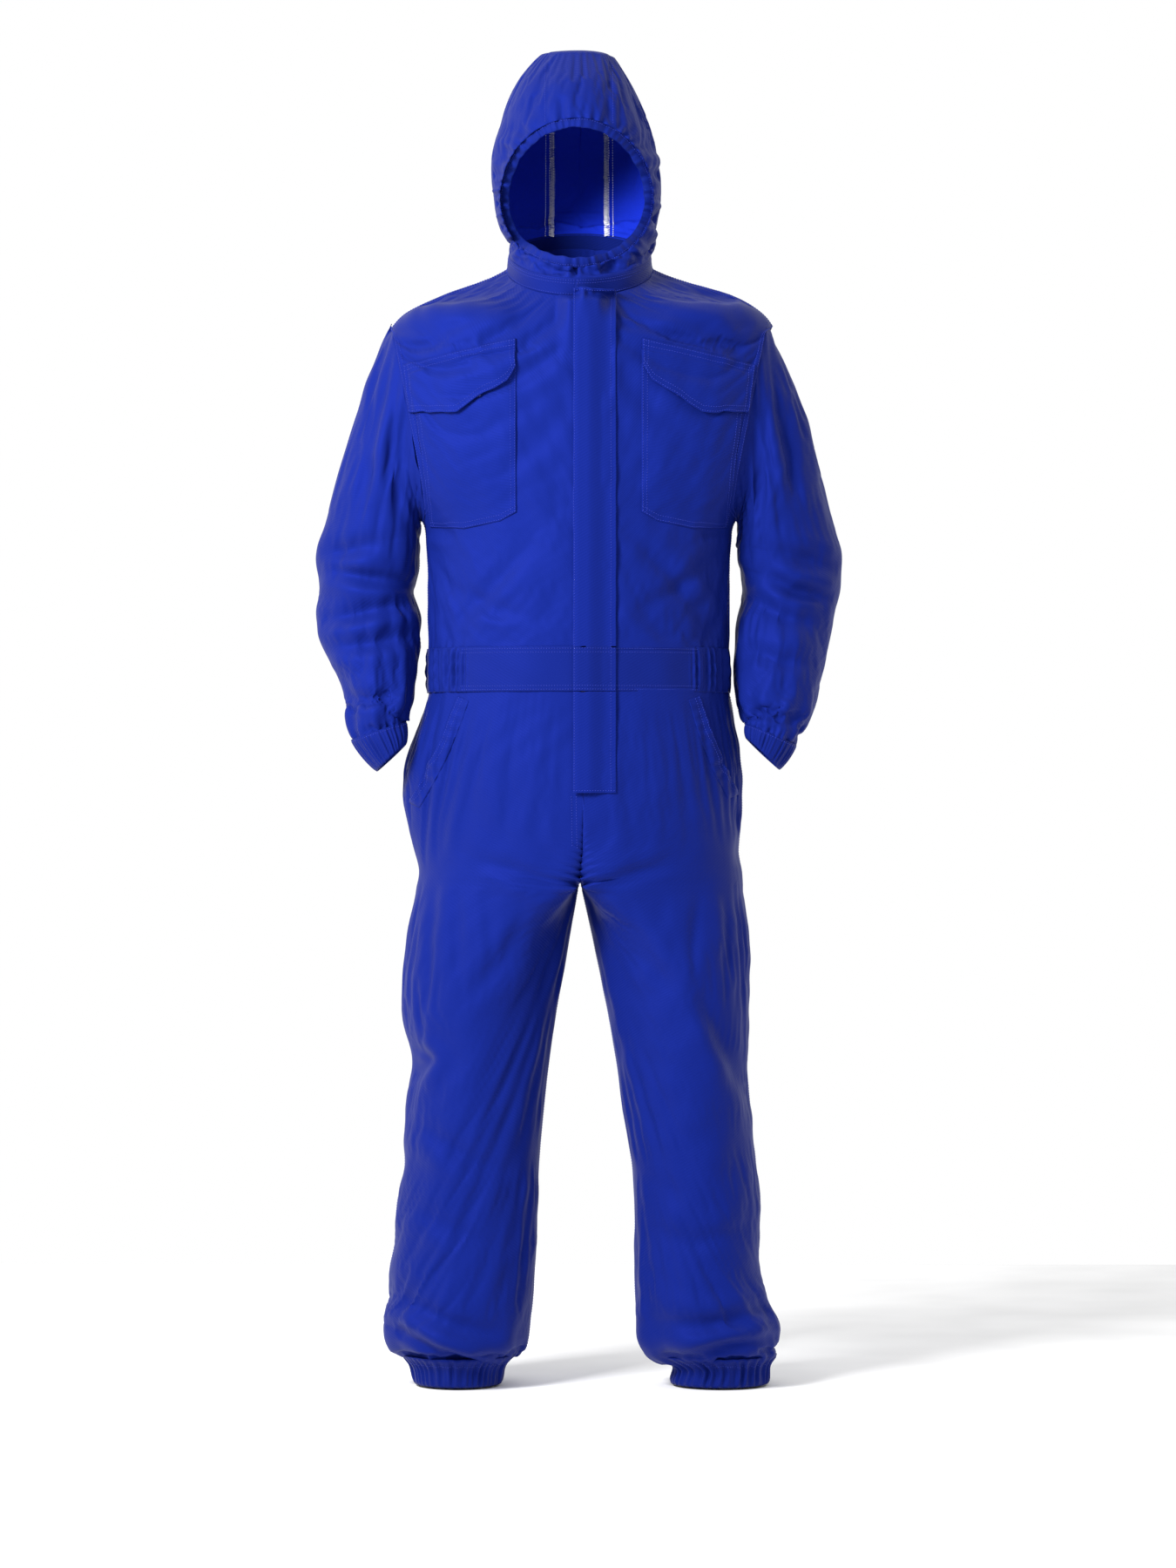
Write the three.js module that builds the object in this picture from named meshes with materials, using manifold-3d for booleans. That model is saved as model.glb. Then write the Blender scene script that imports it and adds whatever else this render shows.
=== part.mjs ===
// Hooded one-piece coverall, as it stands when worn. Millimetres, +Z up, +X to the wearer's left, front to -Y.
// The origin is the centre of the seam where the collar band joins the bodice.
import * as THREE from 'three';
import { mergeVertices } from 'three/addons/utils/BufferGeometryUtils.js';
import Module from 'manifold-3d';

const wasm = await Module();
wasm.setup();

// Overall sizes
const torsoLength = 756; // collar seam to crotch
const legLength = 622; // crotch to the bottom of the ankle hem
const hoodHeight = 268; // collar seam to the crown of the hood
const chestHalfWidth = 188; // at the armpits
const frontDepth = 125; // centre plane to the front closure, straight all the way down
const backDepth = 102; // centre plane to the small of the back

// Cloth and seams
const fabric = 1.5; // one panel with its seam turnings
const gap = 0.3; // between pieces that touch
const elastic = 1.2; // elastic tape thickness

// Collar, waistband, casings
const collarHeight = 20;
const neckTilt = 22.7; // degrees, the collar seam dips to the front
const waistTop = -470;
const waistHeight = 54;
const hemHeight = 26;
const hoodRimWidth = 13;
const elasticInset = 4; // elastic narrower than its casing, at each edge

// Hood
const faceHalfWidth = 82;
const faceHalfHeight = 78;
const faceCentre = 84;
const hoodStripHalfWidth = 37; // the centre strip, forehead to nape

// Front closure
const closureX = 5; // middle of the zip
const zipTop = -66;
const zipBottom = -640;
const slitHalfWidth = 3; // between the two front edges
const toothHalfWidth = 2.7;
const tapeWidth = 13;
const tapeThickness = 1.2;
const toothStand = 0.4; // the coil stands this far proud of the cloth
const sliderSize = [10, 3.2, 14];
const sliderTop = -80;
const pullSize = [6, 1.2, 30];
const stopHeight = 5;

// Flaps over the closure
const flapFreeEdge = -7;
const flapSewnEdge = 45;
const flapSeam = 7; // width of the sewn edge
const flapPlay = 2.2; // the flaps stand this far clear of the zip pull
const placketTop = -52;
const flyBottom = -637;

// Chest pockets, on the wearer's left; the right side mirrors them
const flapStand = 1.2; // thickness of each half of the hook-and-loop closure
const chestPocket = [[76, -104], [206, -132], [182, -320], [140, -324], [96, -316], [76, -306]];
const pocketFlap = [[78, -94], [214, -125], [206, -183], [150, -183], [84, -137], [78, -130]];
const closurePatch = [[120, -150], [165, -156], [165, -172], [120, -166]];

// Side pockets
const bagDepth = 13; // hollow of the pocket bag, front to back
const bagOutline = [[112, -536], [178, -536], [200, -600], [204, -690], [160, -738], [112, -738]];
const mouthTop = [146, -533];
const mouthBottom = [198, -645];
const mouthWidth = 11;
const bagHem = 5;
const bagMiddle = [158, -637];
const bagReach = 60; // middle of the bag to its nearer sides

// Armhole: a slanting plane from the shoulder point down to the armpit
const shoulderPoint = [230, -70];
const armpit = [194, -312];

const bodySides = 24;
const sleeveSides = 14;
const legSides = 16;
const hoodSlope = Math.tan(THREE.MathUtils.degToRad(neckTilt));
const waistBottom = waistTop - waistHeight;
const crotch = -torsoLength;
const hemBottom = crotch - legLength;
const hemTop = hemBottom + hemHeight;
const far = 2000;

// Torso sections down to the waist: height, then width, front and back beside the driving sizes.
const torsoSections = [
  [-523.9, -3, 0, 1], [-470.2, -3, 0, 0], [-399.9, -2, 0, 4], [-340.2, 0, 0, 11],
  [-315.2, 2, 0, 14], [-290.3, 20, 0, 17], [-260.1, 42, 0, 20], [-200.3, 62, 0, 24], [-130, 68, 0, 26],
  [-96.8, 60, 0, 22], [-74.8, 50, 0, 16], [-53.7, 32, -3, 10], [-31.8, -10, -13, 0], [-11.3, -71, -23, -10],
];

// Hip sections: share of the way from the waistband to the crotch, then as above.
const hipSections = [
  [1.13, 12, -8, 28], [1.0, 14, -3, 36], [0.759, 20, 0, 38], [0.544, 27, 0, 34], [0.371, 22, 0, 26], [0.185, 8, 0, 14],
];

// Hood sections: share of the hood height, half width, front, back.
const hoodSections = [
  [0.02, 88, 96, 82], [0.075, 86, 100, 80], [0.2, 97, 106, 92], [0.36, 104, 110, 110], [0.485, 105, 112, 120],
  [0.6, 101, 111, 124], [0.687, 94, 108, 122], [0.765, 87, 100, 114], [0.847, 77, 88, 98], [0.93, 58, 64, 70],
  [0.978, 36, 38, 42], [1.0, 14, 14, 16],
];

// Sleeve sections on the left: outer edge, inner edge (x, z), middle in y, half depth.
const sleeveSections = [
  [214, -58, 182, -312, 3, 64], [246, -92, 198, -309, 4, 68], [262, -135, 200, -313, 6, 71],
  [280, -190, 200, -323, 10, 70], [298, -255, 199, -340, 16, 68], [317, -322, 199, -362, 22, 66],
  [327, -372, 203, -392, 24, 64], [319, -422, 198, -425, 18, 62], [306, -480, 196, -468, 4, 58],
  [297, -525, 198, -512, -10, 54], [286, -562, 205, -545, -22, 48], [268, -590, 212, -566, -32, 37],
];
const cuffEnd = [252, -618, 217, -590, -38, 31];

// Leg sections on the left: share of the leg length, inner edge, outer edge, front, back, squareness of the inner side.
const legSections = [
  [0, 1, 202, 120, 138, 1], [0.07, 12, 210, 112, 132, 0.55], [0.17, 24, 214, 104, 122, 0.15],
  [0.28, 36, 210, 98, 112, 0], [0.39, 45, 207, 94, 102, 0], [0.5, 52, 214, 90, 96, 0],
  [0.62, 58, 223, 88, 92, 0], [0.73, 60, 229, 88, 92, 0], [0.86, 65, 242, 88, 92, 0],
  [0.915, 73, 241, 82, 86, 0],
];
const ankle = [104, 212, 55, 57];

const cloth = new THREE.MeshStandardMaterial({ color: '#1d329d', roughness: 0.75, metalness: 0 });
const bandCloth = new THREE.MeshStandardMaterial({ color: '#182985', roughness: 0.75, metalness: 0 });
const tapeCloth = new THREE.MeshStandardMaterial({ color: '#141f6b', roughness: 0.85, metalness: 0 });
const elasticTape = new THREE.MeshStandardMaterial({ color: '#d8d9dc', roughness: 0.9, metalness: 0 });
const coil = new THREE.MeshStandardMaterial({ color: '#16206e', roughness: 0.45, metalness: 0 });
const enamel = new THREE.MeshStandardMaterial({ color: '#1a2a86', roughness: 0.4, metalness: 0.3 });

const suit = new THREE.Group();

// A closed three.js geometry as a solid.
function solid(geometry) {
  const bare = geometry.clone();
  bare.deleteAttribute('normal');
  bare.deleteAttribute('uv');
  const merged = mergeVertices(bare, 1e-4);
  const mesh = new wasm.Mesh({
    numProp: 3,
    vertProperties: new Float32Array(merged.attributes.position.array),
    triVerts: new Uint32Array(merged.index.array),
  });
  return new wasm.Manifold(mesh);
}

// A tube skinned over rings: ringPoint(row, angle) gives a point, and each end is closed by a fan.
function loft(rows, sides, ringPoint) {
  const geometry = new THREE.CylinderGeometry(1, 1, 1, sides, rows - 1);
  const position = geometry.attributes.position;
  const point = new THREE.Vector3();
  const opposite = new THREE.Vector3();
  for (let i = 0; i < position.count; i++) {
    point.fromBufferAttribute(position, i);
    const row = Math.round((0.5 - point.y) * (rows - 1));
    const angle = Math.atan2(point.x, point.z);
    const onAxis = Math.hypot(point.x, point.z) < 0.5;
    point.copy(ringPoint(row, angle));
    if (onAxis) {
      opposite.copy(ringPoint(row, angle + Math.PI));
      point.add(opposite).multiplyScalar(0.5);
    }
    position.setXYZ(i, point.x, point.y, point.z);
  }
  return solid(geometry);
}

function box(low, high) {
  const size = high.map((value, i) => value - low[i]);
  const geometry = new THREE.BoxGeometry(...size);
  geometry.translate(...low.map((value, i) => value + size[i] / 2));
  return solid(geometry);
}

// A prism along Y over an outline of (x, z) points; the front prism stops just short of the centre plane.
function prism(outline, yLow = -far, yHigh = -1) {
  const shape = new THREE.Shape(outline.map(([x, z]) => new THREE.Vector2(x, z)));
  return extruded(shape, yLow, yHigh);
}

function extruded(shape, yLow, yHigh) {
  const geometry = new THREE.ExtrudeGeometry(shape, { depth: yHigh - yLow, bevelEnabled: false, curveSegments: 10 });
  geometry.rotateX(Math.PI / 2);
  geometry.translate(0, yHigh, 0);
  return solid(geometry);
}

// An outline mirrored for the wearer's right.
function mirrored(outline, side) {
  return outline.map(([x, z]) => [side * x, z]);
}

// Everything between two planes that lie as the collar seam does, at two distances above it.
function collarSlab(low, high) {
  const geometry = new THREE.BoxGeometry(far, far, high - low);
  geometry.translate(0, 0, (high + low) / 2);
  geometry.rotateX(THREE.MathUtils.degToRad(neckTilt));
  return solid(geometry);
}

// The whole of the body and hood as one solid, grown or shrunk by an offset.
function body(offset) {
  const hips = hipSections.map(([share, ...rest]) => [waistBottom + share * (crotch - waistBottom), ...rest]);
  const torso = [...hips, ...torsoSections].map(([height, width, front, back]) =>
    [height, chestHalfWidth + width, frontDepth + front, backDepth + back]);
  const hood = hoodSections.map(([share, width, front, back]) => [share * hoodHeight, width, front, back]);
  const sections = [...torso, ...hood].reverse();
  sections[0] = [sections[0][0] + offset, ...sections[0].slice(1)];
  return loft(sections.length, bodySides, (row, angle) => {
    const [height, width, front, back] = sections[row];
    const across = Math.sin(angle) * (width + offset);
    const depth = Math.cos(angle) > 0 ? back : front;
    return new THREE.Vector3(-across, Math.cos(angle) * (depth + offset), height);
  });
}

// The cloth between two offsets from the body's surface.
function layer(inner, outer) {
  return body(outer).subtract(body(inner));
}

// A sleeve's rings fan out from the armpit, so the inner edge is offset partly across the body.
function sleeveTube(sections, side, offset) {
  return loft(sections.length, sleeveSides, (row, angle) => {
    const [outerX, outerZ, innerX, innerZ, middle, depth] = sections[row];
    const inward = new THREE.Vector2(innerX - outerX, innerZ - outerZ).normalize();
    const atArmpit = inward.clone().add(new THREE.Vector2(-1, 0)).normalize();
    const outer = new THREE.Vector2(outerX, outerZ).addScaledVector(inward, -offset);
    const inner = new THREE.Vector2(innerX, innerZ).addScaledVector(atArmpit, offset);
    const ring = inner.lerp(outer, (1 + Math.cos(angle)) / 2);
    const y = middle + side * Math.sin(angle) * (depth + offset);
    return new THREE.Vector3(side * ring.x, y, ring.y);
  });
}

function legTube(sections, side, offset) {
  return loft(sections.length, legSides, (row, angle) => {
    const [height, inner, outer, front, back, squareness] = sections[row];
    const middle = (inner + outer) / 2;
    const reach = (outer - inner) / 2 + offset;
    const toBack = -side * Math.cos(angle);
    const depth = (toBack > 0 ? back : front) + offset;
    const lean = Math.sin(angle);
    const oval = middle + lean * reach;
    const halfOval = lean > 0 ? inner - offset + lean * (outer - inner + 2 * offset) : inner - offset;
    const x = THREE.MathUtils.lerp(oval, halfOval, squareness);
    return new THREE.Vector3(side * x, toBack * depth, height);
  });
}

// A tube with an open bore: its ends run past each other so that the bore is open at both.
function hollow(makeTube, sections, side, thickness, stretch) {
  const outer = makeTube(sections, side, 0);
  const inner = makeTube(stretch(sections), side, -thickness);
  return outer.subtract(inner);
}

// Sections carried on by a little at both ends, along their own direction.
function stretched(sections, share = 0.2) {
  const carry = (from, to) => to.map((value, i) => value + (value - from[i]) * share);
  const first = carry(sections[1], sections[0]);
  const last = carry(sections[sections.length - 2], sections[sections.length - 1]);
  return [first, ...sections, last];
}

// Gives a solid its name, material and place in the suit.
function add(name, piece, material = cloth) {
  const { vertProperties, triVerts } = piece.getMesh();
  const geometry = new THREE.BufferGeometry();
  geometry.setAttribute('position', new THREE.BufferAttribute(new Float32Array(vertProperties), 3));
  geometry.setIndex(new THREE.BufferAttribute(new Uint32Array(triVerts), 1));
  geometry.computeVertexNormals();
  const mesh = new THREE.Mesh(geometry, material);
  mesh.name = name;
  suit.add(mesh);
}

const front = (yHigh = -gap / 2) => box([-far, -far, -far], [far, yHigh, far]);
const back = (yLow = gap / 2) => box([-far, yLow, -far], [far, far, far]);
const between = (low, high) => box([-far, -far, low], [far, far, high]);
const leftOf = (x) => box([x, -far, -far], [far, far, far]);
const rightOf = (x) => box([-far, -far, -far], [x, far, far]);

// What lies outside the armhole plane on one side, above the armpit.
function armSpace(side, clearance) {
  const slope = (shoulderPoint[0] - armpit[0]) / (shoulderPoint[1] - armpit[1]);
  const top = 100;
  const topX = armpit[0] + slope * (top - armpit[1]) + clearance;
  const outline = [[armpit[0] + clearance, armpit[1] - clearance], [far, armpit[1] - clearance], [far, top], [topX, top]];
  return prism(mirrored(outline, side), -far, far);
}

const shell = layer(-fabric, 0);
const sides = [['left', 1], ['right', -1]];

// Bodice: two fronts that stop at the zip, and a back.
const bodice = shell
  .intersect(between(waistTop + gap / 2, far))
  .intersect(collarSlab(-far / 2, -gap / 2))
  .subtract(armSpace(1, 0))
  .subtract(armSpace(-1, 0));
add('bodice_front_left', bodice.intersect(front()).intersect(leftOf(closureX + slitHalfWidth)));
add('bodice_front_right', bodice.intersect(front()).intersect(rightOf(closureX - slitHalfWidth)));
add('bodice_back', bodice.intersect(back()));

// Collar band, open at the front where the two ends overlap.
const collarGap = box([closureX - gap / 2, -far, -far], [closureX + gap / 2, 0, far]);
add('collar_band', shell.intersect(collarSlab(gap / 2, collarHeight - gap / 2)).subtract(collarGap), bandCloth);

// Waistband: flat at the front, gathered on elastic behind.
const waistband = shell.intersect(between(waistBottom + gap / 2, waistTop - gap / 2));
add('waistband_front_left', waistband.intersect(front()).intersect(leftOf(closureX + slitHalfWidth)), bandCloth);
add('waistband_front_right', waistband.intersect(front()).intersect(rightOf(closureX - slitHalfWidth)), bandCloth);
add('waistband_back', waistband.intersect(back()), bandCloth);
const elasticFace = -fabric - gap;
const waistElastic = layer(elasticFace - elastic, elasticFace)
  .intersect(between(waistBottom + elasticInset, waistTop - elasticInset))
  .intersect(back(elasticInset));
add('waist_elastic', waistElastic, elasticTape);

// Seat and hips down to the crotch. Each front has a slanting pocket mouth.
function mouthPrism(side, trim = 0) {
  const [x1, z1] = mouthTop;
  const [x2, z2] = mouthBottom;
  const outline = [[x1 + trim, z1], [x1 + mouthWidth - trim, z1], [x2 + mouthWidth - trim, z2], [x2 + trim, z2]];
  return prism(mirrored(outline, side));
}
const hips = shell.intersect(between(crotch + gap / 2, waistBottom - gap / 2));
const slitBottom = zipBottom - stopHeight - gap;
const closureSlit = box([closureX - slitHalfWidth, -far, slitBottom], [closureX + slitHalfWidth, 0, far]);
const hipFront = hips.intersect(front()).subtract(closureSlit);
add('hip_front_left', hipFront.intersect(leftOf(closureX + gap / 2)).subtract(mouthPrism(1)));
add('hip_front_right', hipFront.intersect(rightOf(closureX - gap / 2)).subtract(mouthPrism(-1)));
add('hip_back_left', hips.intersect(back()).intersect(leftOf(gap / 2)));
add('hip_back_right', hips.intersect(back()).intersect(rightOf(-gap / 2)));

// Side pocket bags behind the mouths: a flat pouch, open where the mouth is.
const bagFace = -fabric - gap;
const bagShell = layer(bagFace - bagDepth - 2 * fabric, bagFace);
const bagHollow = layer(bagFace - bagDepth - fabric, bagFace - fabric);
const bagInside = (side) => {
  const [middleX, middleZ] = bagMiddle;
  const share = 1 - bagHem / bagReach;
  const inside = bagOutline.map(([x, z]) => [middleX + (x - middleX) * share, middleZ + (z - middleZ) * share]);
  return prism(mirrored(inside, side));
};
const mouthCut = layer(bagFace - bagDepth - fabric, bagFace + fabric);
for (const [name, side] of sides) {
  const pouch = bagShell.intersect(prism(mirrored(bagOutline, side)));
  const room = bagHollow.intersect(bagInside(side));
  const mouth = mouthCut.intersect(mouthPrism(side));
  add(`pocket_bag_${name}`, pouch.subtract(room).subtract(mouth), tapeCloth);
}

// Hood: a centre strip and two sides, with an elastic casing round the face.
function faceOval(extra) {
  const shape = new THREE.Shape();
  shape.absellipse(0, faceCentre, faceHalfWidth + extra, faceHalfHeight + extra, 0, Math.PI * 2, false, 0);
  return extruded(shape, -far, -1);
}
const hoodShell = shell.intersect(collarSlab(collarHeight + gap / 2, far / 2)).subtract(faceOval(hoodRimWidth + gap));
const hoodSides = hoodShell.subtract(box([-hoodStripHalfWidth, -far, faceCentre], [hoodStripHalfWidth, 0, far]))
  .subtract(box([-hoodStripHalfWidth, 0, -far], [hoodStripHalfWidth, far, far]));
const stripBand = box([-hoodStripHalfWidth + gap, -far, faceCentre], [hoodStripHalfWidth - gap, 0, far])
  .add(box([-hoodStripHalfWidth + gap, -gap, -far], [hoodStripHalfWidth - gap, far, far]));
add('hood_centre', hoodShell.intersect(stripBand));
add('hood_side_left', hoodSides.intersect(leftOf(closureX + gap / 2)));
add('hood_side_right', hoodSides.intersect(rightOf(closureX - gap / 2)));
const rimRing = faceOval(hoodRimWidth).subtract(faceOval(0));
add('hood_rim', layer(-fabric, fabric).intersect(rimRing).intersect(front()), bandCloth);
const hoodElasticRing = faceOval(hoodRimWidth - elasticInset).subtract(faceOval(elasticInset));
add('hood_elastic', layer(elasticFace - elastic, elasticFace).intersect(hoodElasticRing).intersect(front()), elasticTape);

// Sleeves, with a gathered cuff on elastic that starts where the sleeve ends.
const [endOuterX, endOuterZ, endInnerX, endInnerZ, ...endDepth] = sleeveSections[sleeveSections.length - 1];
const alongArm = new THREE.Vector2(endInnerZ - endOuterZ, endOuterX - endInnerX).normalize().multiplyScalar(-gap);
const cuffStart = [endOuterX + alongArm.x, endOuterZ + alongArm.y, endInnerX + alongArm.x, endInnerZ + alongArm.y, ...endDepth];
const cuffSections = [cuffStart, cuffEnd];
for (const [name, side] of sides) {
  const sleeve = hollow(sleeveTube, sleeveSections, side, fabric, stretched);
  const outside = armSpace(side, gap).add(between(-far, armpit[1]));
  add(`sleeve_${name}`, sleeve.intersect(outside));
  add(`cuff_${name}`, hollow(sleeveTube, cuffSections, side, fabric, stretched), bandCloth);
  const ring = sleeveTube(cuffSections, side, elasticFace).subtract(
    sleeveTube(stretched(cuffSections), side, elasticFace - elastic));
  add(`cuff_elastic_${name}`, ring, elasticTape);
}

// Trouser legs, front and back panels, on an elastic ankle hem.
const legRows = legSections.map(([share, ...rest]) => [crotch - gap / 2 - share * legLength, ...rest]);
legRows.push([hemTop + gap, ...ankle, 0]);
const hemRows = [hemTop, hemBottom].map((height) => [height, ...ankle, 0]);
const hemTapeRows = [hemTop - elasticInset, hemBottom + elasticInset].map((height) => [height, ...ankle, 0]);
for (const [name, side] of sides) {
  const leg = hollow(legTube, legRows, side, fabric, stretched);
  add(`leg_front_${name}`, leg.intersect(front()));
  add(`leg_back_${name}`, leg.intersect(back()));
  add(`hem_${name}`, hollow(legTube, hemRows, side, fabric, stretched), bandCloth);
  const tape = legTube(hemTapeRows, side, elasticFace).subtract(
    legTube(stretched(hemTapeRows), side, elasticFace - elastic));
  add(`hem_elastic_${name}`, tape, elasticTape);
}

// Zip: two tapes behind the front edges, two coils in the slit, a slider with its pull, and a bottom stop.
const tapeFace = -fabric - gap;
const tapeInner = slitHalfWidth + gap;
for (const [name, side] of sides) {
  const edge = (offset) => closureX + side * offset;
  const tapeSpan = [edge(tapeInner), edge(tapeInner + tapeWidth)].sort((a, b) => a - b);
  const tape = layer(tapeFace - tapeThickness, tapeFace)
    .intersect(box([tapeSpan[0], -far, zipBottom], [tapeSpan[1], 0, zipTop]));
  add(`zip_tape_${name}`, tape, tapeCloth);
  const coilSpan = [edge(gap / 2), edge(toothHalfWidth)].sort((a, b) => a - b);
  const teeth = layer(tapeFace - tapeThickness, toothStand)
    .intersect(box([coilSpan[0], -far, zipBottom], [coilSpan[1], 0, zipTop]));
  add(`zip_teeth_${name}`, teeth, coil);
}
const sliderFront = frontDepth + toothStand + gap + sliderSize[1];
const [sliderWidth, sliderThickness, sliderLength] = sliderSize;
add('zip_slider', box(
  [closureX - sliderWidth / 2, -sliderFront, sliderTop - sliderLength],
  [closureX + sliderWidth / 2, -sliderFront + sliderThickness, sliderTop],
), enamel);
const [pullWidth, pullThickness, pullLength] = pullSize;
const pullFront = sliderFront + gap + pullThickness;
const pullTop = sliderTop - sliderLength / 3;
add('zip_pull', box(
  [closureX - pullWidth / 2, -pullFront, pullTop - pullLength],
  [closureX + pullWidth / 2, -pullFront + pullThickness, pullTop],
), enamel);
add('zip_stop', box(
  [closureX - toothHalfWidth, -frontDepth - toothStand, zipBottom - stopHeight],
  [closureX + toothHalfWidth, -frontDepth + fabric, zipBottom - gap],
), enamel);

// Flaps over the zip: placket, waist tab and fly, each sewn down its left edge and clear of the slider.
const flapFace = pullFront - frontDepth + flapPlay;
function closureFlap(low, high) {
  const cover = layer(flapFace, flapFace + fabric)
    .intersect(box([flapFreeEdge, -far, low], [flapSewnEdge, 0, high]));
  const seam = layer(gap, flapFace + fabric)
    .intersect(box([flapSewnEdge - flapSeam, -far, low], [flapSewnEdge, 0, high]));
  return cover.add(seam);
}
add('placket', closureFlap(waistTop + gap / 2, placketTop));
add('waist_tab', closureFlap(waistBottom + gap / 2, waistTop - gap / 2), bandCloth);
add('fly_flap', closureFlap(flyBottom, waistBottom - gap / 2));

// Chest pockets: a patch, the two halves of a hook-and-loop closure, and a flap over them.
const pocketFace = gap;
const loopFace = pocketFace + fabric + gap;
const hookFace = loopFace + flapStand + gap;
const flapOver = hookFace + flapStand + gap;
for (const [name, side] of sides) {
  const piece = (outline, face, thickness) =>
    layer(face, face + thickness).intersect(prism(mirrored(outline, side)));
  add(`chest_pocket_${name}`, piece(chestPocket, pocketFace, fabric));
  add(`loop_patch_${name}`, piece(closurePatch, loopFace, flapStand), tapeCloth);
  add(`hook_patch_${name}`, piece(closurePatch, hookFace, flapStand), tapeCloth);
  add(`pocket_flap_${name}`, piece(pocketFlap, flapOver, fabric));
}

export default suit;
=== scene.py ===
import math

import bpy
import numpy as np
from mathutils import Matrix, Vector
from mathutils.bvhtree import BVHTree


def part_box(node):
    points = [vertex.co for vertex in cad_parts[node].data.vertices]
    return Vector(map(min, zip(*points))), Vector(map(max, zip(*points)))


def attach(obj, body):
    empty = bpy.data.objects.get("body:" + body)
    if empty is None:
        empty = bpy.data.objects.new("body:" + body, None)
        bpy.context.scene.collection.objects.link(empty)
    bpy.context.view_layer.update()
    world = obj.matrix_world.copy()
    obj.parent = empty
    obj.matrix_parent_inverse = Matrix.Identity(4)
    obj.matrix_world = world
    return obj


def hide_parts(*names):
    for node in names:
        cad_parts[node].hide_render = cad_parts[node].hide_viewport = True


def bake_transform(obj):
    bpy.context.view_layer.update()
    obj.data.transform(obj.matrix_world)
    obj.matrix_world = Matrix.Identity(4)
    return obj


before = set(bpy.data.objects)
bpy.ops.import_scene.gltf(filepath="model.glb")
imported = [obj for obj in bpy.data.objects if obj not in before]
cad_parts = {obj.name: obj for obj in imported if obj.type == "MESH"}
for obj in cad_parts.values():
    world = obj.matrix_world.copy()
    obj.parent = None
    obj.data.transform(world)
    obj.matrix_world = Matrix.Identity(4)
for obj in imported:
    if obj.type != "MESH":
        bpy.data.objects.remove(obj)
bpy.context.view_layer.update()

scene = bpy.context.scene
scene.view_settings.view_transform = "Standard"


# levels shared by the pieces, read from the frame, in millimetres
def low(node, axis):
    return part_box(node)[0][axis] * 1000


def high(node, axis):
    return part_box(node)[1][axis] * 1000


waistTop = high("waistband_back", 2)
waistBottom = low("waistband_back", 2)
crotch = low("hip_back_left", 2)
closureX = (low("zip_teeth_left", 0) + high("zip_teeth_right", 0)) / 2
flapFree = low("placket", 0)
flapSewn = high("placket", 0)
placketTop = high("placket", 2)
flyBottom = low("fly_flap", 2)
neckSlope = math.tan(math.radians(22.7))

# camera: level with the middle of the suit and a long way off
camera = {"distance": 6.0, "side": 0.011, "height": -0.637, "seen": 1.944}
cameraData = bpy.data.cameras.new("camera")
cameraData.sensor_fit = "VERTICAL"
cameraData.angle = 2 * math.atan(camera["seen"] / 2 / camera["distance"])
cameraData.clip_end = 100
cameraObject = bpy.data.objects.new("camera", cameraData)
cameraObject.location = (camera["side"], -camera["distance"], camera["height"])
cameraObject.rotation_euler = (math.radians(90), 0, 0)
scene.collection.objects.link(cameraObject)
scene.camera = cameraObject


# small tools
def alongProfile(stations, at):
    # smooth curve through stations
    table = np.array(stations, float)
    table = table[np.argsort(table[:, 0])]
    heights, values = table[:, 0], table[:, 1:]
    slopes = np.gradient(values, heights, axis=0)
    at = np.clip(np.asarray(at, float), heights[0], heights[-1])
    i = np.clip(np.searchsorted(heights, at) - 1, 0, len(heights) - 2)
    h = (heights[i + 1] - heights[i])[..., None]
    t = (at[..., None] - heights[i][..., None]) / h
    a, b = values[i], values[i + 1]
    m, n = slopes[i] * h, slopes[i + 1] * h
    out = (2 * t**3 - 3 * t**2 + 1) * a + (t**3 - 2 * t**2 + t) * m
    out += (-2 * t**3 + 3 * t**2) * b + (t**3 - t**2) * n
    return np.moveaxis(out, -1, 0)


def smoothStep(x, a, b):
    t = np.clip((np.asarray(x, float) - a) / (b - a), 0, 1)
    return t * t * (3 - 2 * t)


def ripple(t, count, seed, spread=0.35):
    # uneven pleats
    rng = np.random.default_rng(seed)
    total = np.zeros_like(t, dtype=float)
    for k in range(5):
        f = max(1, round(count * (1 + spread * (rng.random() * 2 - 1))))
        total += np.sin(2 * np.pi * f * t + rng.random() * 6.283) * (0.6 + 0.6 * rng.random())
    return total / 2.6


def refine(grid, byRow, byCol):
    # a finer grid through the same points, by a smooth curve along each direction
    def along(points, n, axis):
        if n == 1:
            return points
        p = np.moveaxis(points, axis, 0)
        count = len(p)
        at = np.linspace(0, count - 1, (count - 1) * n + 1)
        i = np.minimum(at.astype(int), count - 2)
        t = (at - i).reshape((-1,) + (1,) * (p.ndim - 1))
        before, after = p[np.maximum(i - 1, 0)], p[np.minimum(i + 2, count - 1)]
        a, b = p[i], p[i + 1]
        out = 0.5 * (2 * a + (b - before) * t + (2 * before - 5 * a + 4 * b - after) * t**2
                     + (3 * a - before - 3 * b + after) * t**3)
        return np.moveaxis(out, 0, axis)
    return along(along(grid, byRow, 0), byCol, 1)


def facing(grid, inside, closed=False):
    # unit normals away from the inside, and whether the grid runs the right way round for them
    across = np.gradient(grid, axis=1)
    if closed:
        across[:, [0, -1]] = ((grid[:, [1]] - grid[:, [-2]]) / 2)
    n = np.cross(np.gradient(grid, axis=0), across)
    n /= np.maximum(np.linalg.norm(n, axis=2, keepdims=True), 1e-9)
    sign = 1 if np.sum(n * (grid - inside)) > 0 else -1
    return n * sign, sign


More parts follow.
